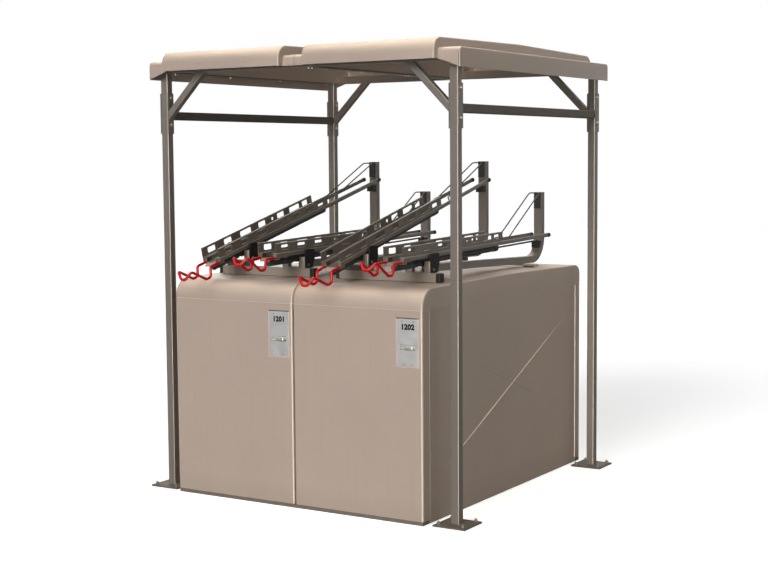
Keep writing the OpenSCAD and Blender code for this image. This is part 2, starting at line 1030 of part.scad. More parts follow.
module pivot_bracket(i) {
  z0 = cross_top + lift(i);
  difference() {
    union() {
      translate([-bracket_out, pivot_y - bracket_length / 2, z0])
        cube([2 * bracket_out, bracket_length, 6]);
      for (s = [-1, 1])
        along_x(s > 0 ? bracket_in : -bracket_out, s > 0 ? bracket_out : -bracket_in) {
          polygon([[pivot_y - 46, z0], [pivot_y + 22, z0], [pivot_y + 46, z0 + 60], [pivot_y + 46, z0 + 100],
            [pivot_y + 32, z0 + bracket_height], [pivot_y - 32, z0 + bracket_height], [pivot_y - 46, z0 + 100]]);
        }
      translate([-bracket_out, pivot_y + bracket_length / 2 - 1, z0])
        cube([2 * bracket_out, rail_front - pivot_y - bracket_length / 2 + 1, 6]);
      translate([-rail_width / 2 - 8, rail_front - bracket_web, z0])
        cube([rail_width + 16, bracket_web, 36]);
    }
    translate([0, pivot_y, pivot_z(i)])
      rotate([0, 90, 0])
        cylinder(h = 4 * bracket_out, d = trunnion + 0.1, center = true);
    for (s = [-1, 1])
      translate([s * (bracket_out - 22), cross_back - 14, z0 - 1])
        cylinder(h = 8, d = 10);
  }
}

module pivot_brackets() {
  color("#1c1c1c")
    for (i = [0:3])
      translate([tray_x[i], 0, 0])
        pivot_bracket(i);
}

module bracket_bolts() {
  color("#8b8b88")
    for (i = [0:3])
      for (s = [-1, 1])
        translate([tray_x[i] + s * (bracket_out - 22), cross_back - 14, cross_top]) {
          translate([0, 0, -rail_wall - 8])
            cylinder(h = rail_wall + 8 + lift(i) + 6, d = 10);
          translate([0, 0, lift(i) + 6])
            cylinder(h = 6.4, d = 17, $fn = 6);
        }
}

module stop_pads() {
  color("#20262c")
    for (i = [0:3]) {
      translate([tray_x[i] - rail_width / 2 + 8, stop_front - pad, stop_top(i) - 106])
        cube([rail_width - 16, pad + rail_step, 104]);
    }
}

module rest_blocks() {
  color("#1c1c1c")
    for (i = [0:3])
      difference() {
        translate([tray_x[i] - rail_width / 2, stop_front - 36, tail_height(i) - 46])
          cube([rail_width, 36 + rail_step, 46]);
        translate([tray_x[i], 0, 0])
          rail_body(0, stop_top(i), stop_front - bend_in, bend_z(i));
        on_tray(i, 0)
          union() {
            translate([0, -far, tail_z])
              rotate([-90, 0, 0])
                cylinder(h = 2 * far, d = tail + 0.6);
            translate([-tail / 2 - 0.3, -far, tail_z])
              cube([tail + 0.6, 2 * far, 200]);
          }
      }
}

// Moving trays. Each is drawn flat, its pivot at the origin, then set on its slope.

module on_tray(i, slide) {
  translate([tray_x[i], pivot_y, pivot_z(i)])
    rotate([tilt(i), 0, 0])
      translate([0, slide, 0])
        children();
}

module cradle(i) {
  on_tray(i, 0) {
    difference() {
      translate([-30, -55, -20])
        cube([60, 110, 21]);
      translate([-foot_half - 0.6, -60, foot_low - 0.6])
        cube([2 * foot_half + 1.2, 120, slide_low - foot_low + 1.2]);
      translate([-slide_half - 0.6, -60, foot_low])
        cube([2 * slide_half + 1.2, 120, 40]);
    }
    for (s = [-1, 1])
      translate([s * 30, 0, 0])
        rotate([0, s * 90, 0])
          translate([0, 0, -4])
            cylinder(h = bracket_out - 30 + 4 + 3, d = trunnion);
  }
}

window_at = [[-262, 75], [-95, 75], [74, 114], [270, 75], [480, 75], [620, 114], [800, 75], [950, 75]];
round_at = [425, 762, 1055];

module tray(i) {
  w = tray_width / 2;
  t = tray_sheet;
  on_tray(i, 0) {
    difference() {
      union() {
        // trough, ledge and pierced sides
        translate([0, front_l, 0])
          rotate([90, 0, 180])
              linear_extrude(height = tray_length)
                polygon([[-w - 5, side_top], [-w - 5, side_top - t], [-w, side_top - t],
                  [-w, ledge_z - t], [-trough_half, ledge_z - t], [-trough_half, trough_z],
                  [trough_half, trough_z], [trough_half, ledge_z - t], [w, ledge_z - t],
                  [w, side_top - t], [w + 5, side_top - t], [w + 5, side_top], [w - t, side_top],
                  [w - t, ledge_z], [trough_half - t, ledge_z], [trough_half - t, trough_z + t],
                  [-trough_half + t, trough_z + t], [-trough_half + t, ledge_z], [-w + t, ledge_z],
                  [-w + t, side_top]]);
      }
      // windows and holes in the sides
      for (a = window_at)
        translate([-far / 2, a[0], ledge_z + 4])
          cube([far, a[1], side_height - 12]);
      for (y = round_at)
        translate([0, y, ledge_z + side_height / 2])
          rotate([0, 90, 0])
            cylinder(h = far, d = 26, center = true);
      // the front wheel drops through the floor here
      translate([-trough_half + t, cup_front, -50])
        cube([2 * trough_half - 2 * t, 400, 50 + trough_z + t + 0.5]);
    }
    // lugs that hold the ends of the pull handle
    for (s = [-1, 1])
      difference() {
        translate([s > 0 ? trough_half - 1 : -wire_half - 11, front_l + 8, wire_z - 11])
          cube([wire_half + 12 - trough_half, 44, ledge_z - t - wire_z + 11]);
        translate([s * wire_half, front_l, wire_z])
          rotate([-90, 0, 0])
            cylinder(h = 80, d = wire);
      }
    // captured slide under the trough
    translate([-slide_half, front_l + 10, slide_low])
      cube([2 * slide_half, slide_rear - front_l - 10, trough_z - slide_low]);
    translate([-foot_half, front_l + 10, foot_low])
      cube([2 * foot_half, slide_rear - front_l - 10, slide_low - foot_low]);
    // round sleeve over the front of the slide, on the low trays
    if (!tray_high[i])
      difference() {
        translate([0, front_l + 10, trough_z - sleeve / 2 - 0.5])
          rotate([-90, 0, 0])
            cylinder(h = 240, d = sleeve);
        translate([0, front_l + 9, trough_z - sleeve / 2 - 0.5])
          rotate([-90, 0, 0])
            cylinder(h = 13, d = sleeve - 6);
      }
    // front lip
    along_x(-trough_half, trough_half)
      polygon([[front_l, trough_z], [front_l, trough_z + t], [front_l - 26, trough_z - 14], [front_l - 24, trough_z - 17]]);
    // wheel cup behind the slide
    translate([-trough_half, cup_front, cup_z])
      cube([2 * trough_half, rear_l - cup_front, t]);
    for (y = [cup_front, rear_l - t])
      translate([-trough_half, y, cup_z])
        cube([2 * trough_half, t, trough_z - cup_z + t]);
    // side arms past the wheel stop
    for (s = [-1, 1])
      translate([s > 0 ? w - 6 : -w, rear_l - 120, arm_z])
        cube([6, arm_rear - rear_l + 120, arm_height]);
    for (s = [-1, 1])
      translate([s > 0 ? trough_half - t : -w, rear_l - 120, arm_z])
        cube([w - trough_half + t, 60, arm_height]);
    // tail rod
    translate([0, rear_l - 2, tail_z])
      rotate([-90, 0, 0])
        cylinder(h = (stop_front - 8 - pivot_y) / cos(tilt(i)) - rear_l + 2, d = tail);
    // wheel hoop
    wheel_hoop(i);
  }
}

// Wire hoop for the front wheel. It leans back to the pad on the wheel stop.
module wheel_hoop(i) {
  w = tray_width / 2 - 8;
  a = tray_high[i] ? 164 : 322;
  e = tray_high[i] ? 1535 : 1470;
  y = rear_l - 46;
  z = ledge_z + 14;
  for (s = [-1, 1]) {
    rod([s * w, y, z], [s * w, e, a], 8);
    ball([s * w, e, a], 8);
    rod([s * w, y, z], [s * (tray_width / 2 - 1), y, z], 8);
    ball([s * w, y, z], 8);
  }
  rod([-w, e, a], [w, e, a], 8);
}

// Bent wire pull handle: two side dips, two horns and a shallow dip in the front bar between them
module pull_wire(i) {
  y = front_l - 70;
  p = [[wire_half, front_l + 50, wire_z], [wire_half, y, wire_z], [wire_half, y - 50, dip_z],
    [wire_half, y - 68, dip_z], [wire_half, y - 184, horn_z], [14, y - 214, 15]];
  on_tray(i, 0) {
    for (s = [-1, 1])
      for (k = [1:len(p) - 1]) {
        rod([s * p[k - 1][0], p[k - 1][1], p[k - 1][2]], [s * p[k][0], p[k][1], p[k][2]], wire);
        ball([s * p[k][0], p[k][1], p[k][2]], wire);
      }
    rod([-14, y - 214, 15], [14, y - 214, 15], wire);
  }
}

module cradle_1() {
  color("#4a4641")
    cradle(0);
}

module cradle_2() {
  color("#4a4641")
    cradle(1);
}

module cradle_3() {
  color("#4a4641")
    cradle(2);
}

module cradle_4() {
  color("#4a4641")
    cradle(3);
}

module tray_1() {
  color("#5e554c")
    tray(0);
}

module tray_2() {
  color("#5e554c")
    tray(1);
}

module tray_3() {
  color("#5e554c")
    tray(2);
}

module tray_4() {
  color("#5e554c")
    tray(3);
}

module tray_handle_1() {
  color("#c4161f")
    pull_wire(0);
}

module tray_handle_2() {
  color("#c4161f")
    pull_wire(1);
}

module tray_handle_3() {
  color("#c4161f")
    pull_wire(2);
}

module tray_handle_4() {
  color("#c4161f")
    pull_wire(3);
}

post_front_left();
post_front_right();
post_rear_left();
post_rear_right();
base_plates();
side_rails();
knee_braces();
brace_plates();
frame_bolts();
roof_frame();
roof_gaskets();
roof_panel_left();
roof_panel_right();
roof_joint_cover();
roof_bolts();
base_frame();
side_panel_left();
side_panel_right();
centre_partition();
diagonal_partitions();
top_cover_left();
top_cover_right();
panel_rivets();
hinge_pins();
door_front_left();
door_front_right();
door_rear_left();
door_rear_right();
handle_plate_front_left();
handle_plate_front_right();
handle_plate_rear_left();
handle_plate_rear_right();
paddle_front_left();
paddle_front_right();
paddle_rear_left();
paddle_rear_right();
cross_rails();
rail_end_caps();
rail_packers();
guide_rails();
pivot_brackets();
bracket_bolts();
stop_pads();
rest_blocks();
cradle_1();
cradle_2();
cradle_3();
cradle_4();
tray_1();
tray_2();
tray_3();
tray_4();
tray_handle_1();
tray_handle_2();
tray_handle_3();
tray_handle_4();
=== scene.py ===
"""Two-tier bike rack: finishes and fine pieces over its solid model, in metres."""

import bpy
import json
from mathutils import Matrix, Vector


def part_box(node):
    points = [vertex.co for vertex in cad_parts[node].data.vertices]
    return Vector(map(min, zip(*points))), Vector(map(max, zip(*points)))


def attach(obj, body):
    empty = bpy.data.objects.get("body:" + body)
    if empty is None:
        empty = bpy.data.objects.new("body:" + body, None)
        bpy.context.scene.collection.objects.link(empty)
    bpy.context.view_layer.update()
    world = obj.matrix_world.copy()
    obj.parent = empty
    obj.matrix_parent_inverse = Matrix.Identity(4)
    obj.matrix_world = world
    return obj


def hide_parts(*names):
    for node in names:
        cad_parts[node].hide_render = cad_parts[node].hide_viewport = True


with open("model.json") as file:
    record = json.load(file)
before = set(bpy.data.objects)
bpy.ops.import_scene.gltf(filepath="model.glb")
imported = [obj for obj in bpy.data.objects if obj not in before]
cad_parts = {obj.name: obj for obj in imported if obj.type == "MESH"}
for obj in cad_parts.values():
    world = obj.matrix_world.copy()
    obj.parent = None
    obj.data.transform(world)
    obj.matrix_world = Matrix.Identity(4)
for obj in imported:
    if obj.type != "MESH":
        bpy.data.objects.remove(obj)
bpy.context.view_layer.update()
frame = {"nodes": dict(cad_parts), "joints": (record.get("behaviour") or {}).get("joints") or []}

import json
import math
from itertools import product

import bmesh
import bpy
from mathutils import Matrix, Vector

bl_info = {
    "name": "Two-tier bike rack",
    "version": (1, 0, 0),
    "blender": (4, 5, 0),
    "location": "3D View > Sidebar > Bike Rack",
    "description": "Finishes, handles, numbers and fastenings of a two-tier bike rack",
    "category": "Add Mesh",
}

NODES = frame["nodes"]
JOINTS = {joint["name"]: joint for joint in frame["joints"]}
MM = 0.001
QUARTER = math.pi / 2
SIDES = (-1, 1)
TRAYS = (1, 2, 3, 4)
WHITE = (1.0, 1.0, 1.0, 1.0)
DOORS = ("front_left", "front_right", "rear_left", "rear_right")


def linear(code):
    """Linear RGB of an sRGB colour written in hex."""
    parts = [int(code[i:i + 2], 16) / 255 for i in (0, 2, 4)]
    return tuple(v / 12.92 if v <= 0.04045 else ((v + 0.055) / 1.055) ** 2.4 for v in parts)


def shade(colour, factor):
    """A colour made lighter or darker by a factor, with alpha."""
    return (*(min(1.0, v * factor) for v in colour[:3]), 1.0)


# Materials

# Sockets of a colour mix, which share their names with other sockets of that node
FACTOR, FIRST, SECOND, MIXED = 0, 6, 7, 2


class Nodes:
    """A node tree being made, with the shader that it feeds."""
    KIND = "ShaderNode"

    def __init__(self, tree, shader):
        self.tree = tree
        self.shader = tree.nodes[shader]

    def fill(self, node, inputs):
        """Sets inputs of a node, and links the ones that are given a socket."""
        for key, value in inputs.items():
            if isinstance(value, bpy.types.NodeSocket):
                self.tree.links.new(value, node.inputs[key])
            else:
                node.inputs[key].default_value = value

    def add(self, kind, inputs=None, out=0, **settings):
        """Adds a node with its settings and links, and gives one of its outputs."""
        node = self.tree.nodes.new(self.KIND + kind)
        for key, value in settings.items():
            setattr(node, key, value)
        self.fill(node, inputs or {})
        return node.outputs[out] if node.outputs else None

    def feed(self, **sockets):
        """Sets or links inputs of the shader, named with underscores."""
        self.fill(self.shader, {key.replace("_", " "): value for key, value in sockets.items()})


class Finish(Nodes):
    """A material being made, over the object's own coordinates."""

    def __init__(self, name, **sockets):
        if name in bpy.data.materials:
            bpy.data.materials.remove(bpy.data.materials[name])
        self.material = bpy.data.materials.new(name)
        self.material.use_nodes = True
        super().__init__(self.material.node_tree, "Principled BSDF")
        self.feed(**sockets)
        self.place = self.add("TexCoord", out="Object")

    def layer(self, base, colour, pattern, low=0.0, high=1.0, most=1.0):
        """Lays a colour over the base, from none to the most as a pattern goes from low to high."""
        amount = self.add("MapRange", {"Value": pattern, "From Min": low, "From Max": high, "To Max": most})
        return self.add("Mix", {FACTOR: amount, FIRST: base, SECOND: colour}, MIXED, data_type="RGBA")

    def done(self, base, pattern, low, high, least, most, **relief):
        """The material, with a roughness from least to most as a pattern goes from low to high."""
        limits = {"From Min": low, "From Max": high, "To Min": least, "To Max": most}
        self.feed(Base_Color=base, Roughness=self.add("MapRange", {"Value": pattern, **limits}))
        if relief:
            self.feed(Normal=self.add("Bump", relief))
        return self.material


def powder_coat(name, colour, roughness, dust=0.35, gloss=0.3):
    """Powder-coated steel, sprayed and baked."""
    # The eye sees one even satin colour, with faint clouding half a metre across, an orange peel of
    # about 1.5 mm drawn at 4 mm so that it shows, thin rain streaks, and road dust in the lowest 15 cm.
    coat = Finish(name, Roughness=roughness, IOR=1.5, Specular_IOR_Level=gloss)
    clouds = coat.add("TexNoise", {"Vector": coat.place, "Scale": 2.2, "Detail": 4.0, "Roughness": 0.6})
    upright = coat.add("Mapping", {"Vector": coat.place, "Scale": (70.0, 70.0, 1.6)})
    streaks = coat.add("TexNoise", {"Vector": upright, "Scale": 1.0, "Detail": 3.0})
    peel = coat.add("TexNoise", {"Vector": coat.place, "Scale": 260.0})
    base = coat.layer(shade(colour, 0.965), shade(colour, 1.03), clouds, 0.3, 0.7)
    base = coat.layer(base, shade(colour, 0.9), streaks, 0.52, 0.8, 0.35)
    height = coat.add("SeparateXYZ", {0: coat.place}, "Z")
    low = coat.add("MapRange", {"Value": height, "From Max": 0.15, "To Min": dust, "To Max": 0.0})
    patches = coat.add("MapRange", {"Value": peel, "From Min": 0.35, "From Max": 0.65, "To Min": 0.4})
    dusty = coat.add("Math", {0: low, 1: patches}, operation="MULTIPLY")
    base = coat.layer(base, (*linear("8d8477"), 1.0), dusty)
    return coat.done(base, peel, 0.3, 0.7, roughness - 0.05, roughness + 0.06,
                     Height=peel, Strength=0.1, Distance=0.0008)


def moulded_shell(name, colour):
    """Fibre-reinforced plastic, moulded and gel-coated."""
    # The eye sees a soft sheen over a fine pebbled mould grain, 2 mm drawn at 5 mm, chalked a little by
    # the weather. The side that faces down is painted a darker grey: partly bare laminate, partly painted
    # shade for the dimness under the roof.
    coat = Finish(name, Roughness=0.46, IOR=1.52, Specular_IOR_Level=0.3)
    chalk = coat.add("TexNoise", {"Vector": coat.place, "Scale": 1.7, "Detail": 5.0, "Roughness": 0.65})
    specks = coat.add("TexNoise", {"Vector": coat.place, "Scale": 150.0})
    pebble = coat.add("TexVoronoi", {"Vector": coat.place, "Scale": 200.0}, feature="SMOOTH_F1")
    underside_laminate_and_shade = coat.add("SeparateXYZ", {0: coat.add("NewGeometry", out="True Normal")}, "Z")
    base = coat.layer(shade(colour, 0.965), shade(colour, 1.035), chalk, 0.3, 0.7)
    base = coat.layer(base, shade(colour, 0.88), specks, 0.62, 0.75, 0.3)
    # Painted shade: faces that look down get a darker grey, partly bare laminate and partly the shade under
    # the roof painted in.
    base = coat.layer(base, (*linear("7a7876"), 1.0), underside_laminate_and_shade, -0.6, -0.9)
    return coat.done(base, chalk, 0.3, 0.7, 0.4, 0.52, Height=pebble, Strength=0.12, Distance=0.0008)


def galvanised_steel(name, colour, roughness):
    """Steel, hot-dip galvanised and dulled by the weather."""
    # The eye sees grey spangles about 12 mm across, each of its own tone, with stained patches between.
    coat = Finish(name, Roughness=roughness)
    spangle = coat.add("TexVoronoi", {"Vector": coat.place, "Scale": 85.0}, "Color")
    tone = coat.add("SeparateXYZ", {0: spangle}, "X")
    stains = coat.add("TexNoise", {"Vector": coat.place, "Scale": 14.0, "Detail": 5.0, "Roughness": 0.65})
    base = coat.layer(shade(colour, 0.86), shade(colour, 1.14), tone)
    base = coat.layer(base, shade(colour, 0.7), stains, 0.5, 0.75, 0.6)
    return coat.done(base, tone, 0.0, 1.0, roughness - 0.06, roughness + 0.1,
                     Height=stains, Strength=0.08, Distance=0.0005)


def zinc_plate(name, colour):
    """Zinc-plated steel, turned or forged."""
    # The eye sees a bright cool metal with a faint yellow passivation cloud and fine turning marks.
    coat = Finish(name, Roughness=0.5, Metallic=0.8)
    cloud = coat.add("TexNoise", {"Vector": coat.place, "Scale": 60.0, "Detail": 3.0})
    marks = coat.add("TexNoise", {"Vector": coat.place, "Scale": 700.0, "Detail": 1.0})
    base = coat.layer(shade(colour, 0.85), (*linear("9a9380"), 1.0), cloud, 0.35, 0.65)
    return coat.done(base, marks, 0.3, 0.7, 0.45, 0.6)


def brushed_stainless(name, colour, brush=(9.0, 700.0, 700.0)):
    """Stainless steel sheet, brushed along its width unless the factors say otherwise."""
    # The eye sees long fine scratches side by side, 0.3 mm apart, drawn at 1.5 mm, on a bright even grey.
    coat = Finish(name, Roughness=0.5, Metallic=0.35)
    drawn = coat.add("Mapping", {"Vector": coat.place, "Scale": brush})
    scratches = coat.add("TexNoise", {"Vector": drawn, "Scale": 1.0, "Detail": 3.0, "Roughness": 0.6})
    smears = coat.add("TexNoise", {"Vector": coat.place, "Scale": 22.0, "Detail": 3.0})
    base = coat.layer(shade(colour, 0.9), shade(colour, 1.08), scratches, 0.3, 0.7)
    return coat.done(base, smears, 0.3, 0.7, 0.4, 0.55, Height=scratches, Strength=0.1, Distance=0.0003)


def dipped_vinyl(name, colour):
    """Steel wire dipped in soft vinyl."""
    # The eye sees a wet-looking bright skin that is slightly lumpy, scuffed matt where hands rub it.
    coat = Finish(name, Roughness=0.34, IOR=1.5, Specular_IOR_Level=0.08)
    lumps = coat.add("TexNoise", {"Vector": coat.place, "Scale": 45.0, "Detail": 3.0})
    scuffs = coat.add("TexNoise", {"Vector": coat.place, "Scale": 160.0, "Detail": 4.0, "Roughness": 0.7})
    base = coat.layer(shade(colour, 0.92), shade(colour, 1.06), lumps, 0.3, 0.7)
    base = coat.layer(base, shade(colour, 0.72), scuffs, 0.62, 0.8, 0.4)
    return coat.done(base, scuffs, 0.4, 0.75, 0.3, 0.5, Height=lumps, Strength=0.15, Distance=0.0006)


def moulded_black(name, colour, roughness):
    """Nylon or rubber, moulded black."""
    # The eye sees a dull black with a fine spark-eroded mould grain and greyish handling marks.
    coat = Finish(name, Roughness=roughness, IOR=1.5, Specular_IOR_Level=0.12)
    dirt = coat.add("TexNoise", {"Vector": coat.place, "Scale": 28.0, "Detail": 4.0})
    grain = coat.add("TexNoise", {"Vector": coat.place, "Scale": 320.0, "Detail": 1.0})
    base = coat.layer(shade(colour, 1.0), shade(colour, 1.9), dirt, 0.45, 0.75)
    return coat.done(base, dirt, 0.3, 0.7, roughness - 0.08, roughness + 0.1,
                     Height=grain, Strength=0.2, Distance=0.0005)


# Modelling

def at(x, y, z):
    """The matrix of a shift."""
    return Matrix.Translation((x, y, z))


def turned(angle, axis):
    """The matrix of a turn."""
    return Matrix.Rotation(angle, 4, axis)


def alone(piece=None):
    """Nothing is selected but the piece, in object mode."""
    if bpy.context.object and bpy.context.object.mode != "OBJECT":
        bpy.ops.object.mode_set(mode="OBJECT")
    bpy.ops.object.select_all(action="DESELECT")
    if piece:
        piece.select_set(True)
        bpy.context.view_layer.objects.active = piece


def begin(kind, name, **sizes):
    """Adds a primitive mesh by itself and gives it its name."""
    alone()
    getattr(bpy.ops.mesh, f"primitive_{kind}_add")(**sizes)
    piece = bpy.context.object
    piece.name = piece.data.name = name
    return piece


def rod(name, sides, radius, length, **settings):
    """Adds a cylinder along Z."""
    return begin("cylinder", name, vertices=sides, radius=radius, depth=length, **settings)


def pick(piece, kind, choose):
    """Opens the piece for editing with only the chosen vertices, edges or faces selected."""
    bpy.context.view_layer.objects.active = piece
    if piece.mode != "EDIT":
        bpy.ops.object.mode_set(mode="EDIT")
    bpy.ops.mesh.select_mode(type={"verts": "VERT", "edges": "EDGE", "faces": "FACE"}[kind])
    bpy.ops.mesh.select_all(action="DESELECT")
    mesh = bmesh.from_edit_mesh(piece.data)
    for part in getattr(mesh, kind):
        if choose(part):
            part.select_set(True)
    mesh.select_flush_mode()
    bmesh.update_edit_mesh(piece.data)


def close_edit():
    """Back to object mode."""
    bpy.ops.object.mode_set(mode="OBJECT")


def rounded(piece, kind, choose, radius, segments=2):
    """Bevels the chosen edges, or the edges of the chosen faces."""
    pick(piece, kind, choose)
    bpy.ops.mesh.bevel(offset=radius, segments=segments, affect="EDGES")
    return piece


def without(piece, choose):
    """Deletes the chosen faces."""
    pick(piece, "faces", choose)
    bpy.ops.mesh.delete(type="FACE")


def split_at(piece, point, normal):
    """Adds an edge to every face that a plane crosses."""
    pick(piece, "faces", whole)
    bpy.ops.mesh.bisect(plane_co=point, plane_no=normal)


def extrude(*shift):
    """Draws the selected edges or faces out by a shift."""
    bpy.ops.mesh.extrude_region_move(TRANSFORM_OT_translate={"value": shift})


def settle(piece, matrix=None):
    """Puts the piece's place into its mesh, so that the object itself stands at the origin."""
    alone(piece)
    bpy.ops.object.transform_apply(location=True, rotation=True, scale=True)
    if matrix:
        piece.data.transform(matrix)
    return piece


def stamped(model, name, places, keep=False):
    """One piece made of a copy of the model at each place. The model goes, unless it is kept."""
    mesh = bmesh.new()
    for place in places:
        part = model.data.copy()
        part.transform(place)
        mesh.from_mesh(part)
        bpy.data.meshes.remove(part)
    data = bpy.data.meshes.new(name)
    mesh.to_mesh(data)
    mesh.free()
    if not keep:
        discard(model)
    piece = bpy.data.objects.new(name, data)
    bpy.context.scene.collection.objects.link(piece)
    return piece


def discard(model):
    """Takes a model away once its copies are made."""
    bpy.data.objects.remove(model)


def finish_piece(piece, material, body, angle=35):
    """Gives a piece its material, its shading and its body."""
    piece.data.materials.clear()
    piece.data.materials.append(material)
    alone(piece)
    bpy.ops.object.shade_smooth_by_angle(angle=math.radians(angle))
    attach(piece, body)
    return piece


class Group(Nodes):
    """A node group that takes a mesh in and gives one out."""
    KIND = ""

    def __init__(self, name):
        self.tree = bpy.data.node_groups.new(name, "GeometryNodeTree")
        for way in ("INPUT", "OUTPUT"):
            self.tree.interface.new_socket("Geometry", in_out=way, socket_type="NodeSocketGeometry")
        self.mesh = self.add("NodeGroupInput")

    def done(self, mesh):
        """Sends a mesh out, and gives the group."""
        self.add("NodeGroupOutput", {0: mesh})
        return self.tree


def edge_group():
    """Node group that closes a node's loose triangles and shades its round faces smooth."""
    name = "closed_and_smooth"
    if name in bpy.data.node_groups:
        return bpy.data.node_groups[name]
    group = Group(name)
    merged = group.add("GeometryNodeMergeByDistance", {"Geometry": group.mesh, "Distance": 0.00002})
    smooth = group.add("GeometryNodeSetShadeSmooth", {"Geometry": merged})
    angle = group.add("GeometryNodeInputMeshEdgeAngle")
    steep = group.add("FunctionNodeCompare", {0: angle, 1: math.radians(32)})
    sharp = {"Geometry": smooth, "Selection": steep, "Shade Smooth": False}
    return group.done(group.add("GeometryNodeSetShadeSmooth", sharp, domain="EDGE"))


def long_edge_group():
    """Node group that marks a tube's long outer edges, so that only they are rounded like a rolled corner."""
    name = "long_outer_edges"
    if name in bpy.data.node_groups:
        return bpy.data.node_groups[name]
    group = Group(name)
    angle = group.add("GeometryNodeInputMeshEdgeAngle", out="Signed Angle")
    ends = {n: group.add("GeometryNodeInputMeshEdgeVertices", out=f"Position {n + 1}") for n in (0, 1)}
    length = group.add("ShaderNodeVectorMath", ends, "Value", operation="DISTANCE")
    outer = group.add("FunctionNodeCompare", {0: angle, 1: math.radians(60)})
    long = group.add("FunctionNodeCompare", {0: length, 1: 0.12})
    both = group.add("FunctionNodeBooleanMath", {0: outer, 1: long})
    weight = {"Geometry": group.mesh, "Name": "bevel_weight_edge", "Value": both}
    return group.done(group.add("GeometryNodeStoreNamedAttribute", weight, domain="EDGE"))


def dress(material, width, *names, tube=False):
    """Gives CAD nodes a material and slightly rounded edges, or on a tube rolled corners."""
    for name in names:
        node = NODES[name]
        node.data.materials.clear()
        node.data.materials.append(material)
        close = node.modifiers.new("closed_and_smooth", "NODES")
        close.node_group = edge_group()
        if width > 0:
            flat = node.modifiers.new("plain_faces", "DECIMATE")
            flat.decimate_type = "DISSOLVE"
            flat.angle_limit = math.radians(0.5)
            if tube:
                marks = node.modifiers.new("long_outer_edges", "NODES")
                marks.node_group = long_edge_group()
            bevel = node.modifiers.new("rounded_edges", "BEVEL")
            bevel.width = width
            bevel.segments = 4 if tube else 2
            bevel.limit_method = "WEIGHT" if tube else "ANGLE"
            bevel.use_clamp_overlap = not tube
            bevel.angle_limit = math.radians(40)
            normals = node.modifiers.new("even_faces", "WEIGHTED_NORMAL")
            normals.keep_sharp = True


def near(value, target, slack=0.0003):
    """True where two lengths agree within a fraction of a millimetre."""
    return abs(value - target) < slack


def whole(part):
    """Chooses everything."""
    return True


def upper(face):
    """Chooses the faces that look up."""
    return face.normal.z > 0.9


def lower(face):
    """Chooses the faces that look down."""
    return face.normal.z < -0.9


def end_faces(face):
    """Chooses both ends of a cylinder that stands along Z."""
    return abs(face.normal.z) > 0.9


def along_x(edge):
    """Chooses the edges that run along X."""
    a, b = (v.co for v in edge.verts)
    return near(a.y, b.y) and near(a.z, b.z)


def shoulders(height):
    """Chooses the edges that run along X at a height or above it."""
    return lambda edge: along_x(edge) and edge.verts[0].co.z > height - MM


def ahead_of(y):
    """Chooses the edges in front of a plane."""
    return lambda edge: all(v.co.y < y for v in edge.verts)


def on_line(**place):
    """Chooses the edges whose ends both have the given coordinates."""
    return lambda edge: all(near(getattr(v.co, axis), value) for v in edge.verts
                            for axis, value in place.items())


def block(name, corner, opposite):
    """A cube shaped to two opposite corners, as the start of a piece."""
    low, high = zip(*(sorted(pair) for pair in zip(corner, opposite)))
    middle = [(a + b) / 2 for a, b in zip(low, high)]
    return settle(begin("cube", name, size=1.0, location=middle, scale=[b - a for a, b in zip(low, high)]))


def crown(piece, side, ridge):
    """Lifts a flat top along its middle crease."""
    split_at(piece, (0, 0, 0), (0, 1, 0))
    pick(piece, "verts", lambda v: near(v.co.y, 0) and v.co.z > side - MM)
    bpy.ops.transform.translate(value=(0, 0, ridge - side))


def round_rims(piece, ends, radius):
    """Rounds the edges round the flat ends of a piece that was drawn along X."""
    def rim(edge):
        a, b = (v.co.x for v in edge.verts)
        return (len(edge.link_faces) == 2 and near(a, b) and any(near(a, x) for x in ends)
                and edge.calc_face_angle(0) > 1.2)
    pick(piece, "edges", rim)
    bpy.ops.mesh.bevel(offset=radius, segments=4, affect="EDGES", clamp_overlap=True)


def joined(pieces, name):
    """Several meshes made one piece."""
    alone(pieces[0])
    for piece in pieces:
        piece.select_set(True)
    bpy.ops.object.join()
    pieces[0].name = pieces[0].data.name = name
    return pieces[0]


def walled(piece, thickness):
    """Turns a skin that faces outwards into a sheet of the given thickness."""
    pick(piece, "faces", whole)
    bpy.ops.mesh.normals_make_consistent(inside=False)
    close_edit()
    alone(piece)
    wall = piece.modifiers.new("sheet", "SOLIDIFY")
    wall.thickness = thickness
    wall.offset = -1.0
    bpy.ops.object.modifier_apply(modifier="sheet")
    return settle(piece)


def cut_with(piece, cutter):
    """Takes the cutter's shape out of a piece, and the cutter away."""
    alone(piece)
    cut = piece.modifiers.new("cut", "BOOLEAN")
    cut.object = cutter
    cut.solver = "EXACT"
    bpy.ops.object.modifier_apply(modifier="cut")
    discard(cutter)


def mirrored(piece, name):
    """The same piece for the other side, with a mesh of its own."""
    twin = piece.copy()
    twin.data = piece.data.copy()
    twin.name = twin.data.name = name
    bpy.context.scene.collection.objects.link(twin)
    twin.data.transform(Matrix.Scale(-1, 4, (1, 0, 0)))
    twin.data.flip_normals()
    return twin


def tray_place(n):
    """Where the tray's own flat drawing stands: its pivot, turned to its slope."""
    pull = JOINTS[f"tray_slide_{n}"]["axis"]
    return at(*JOINTS[f"tray_tilt_{n}"]["pos_m"]) @ turned(math.atan2(-pull[2], -pull[1]), "X")


def bent_path(corners, radii, steps):
    """Points of a wire whose corners are bent to the given radii."""
    points = [corners[0]]
    for before, corner, after, radius in zip(corners, corners[1:], corners[2:], radii):
        back, on = before - corner, after - corner
        half = back.angle(on) / 2
        cut = min(radius / math.tan(half), 0.48 * back.length, 0.48 * on.length)
        radius = cut * math.tan(half)
        centre = corner + (back.normalized() + on.normalized()).normalized() * (cut / math.cos(half))
        first = (corner + back.normalized() * cut - centre).normalized()
        last = (corner + on.normalized() * cut - centre).normalized()
        for k in range(steps + 1):
            points.append(centre + first.slerp(last, k / steps) * radius)
    points.append(corners[-1])
    return points


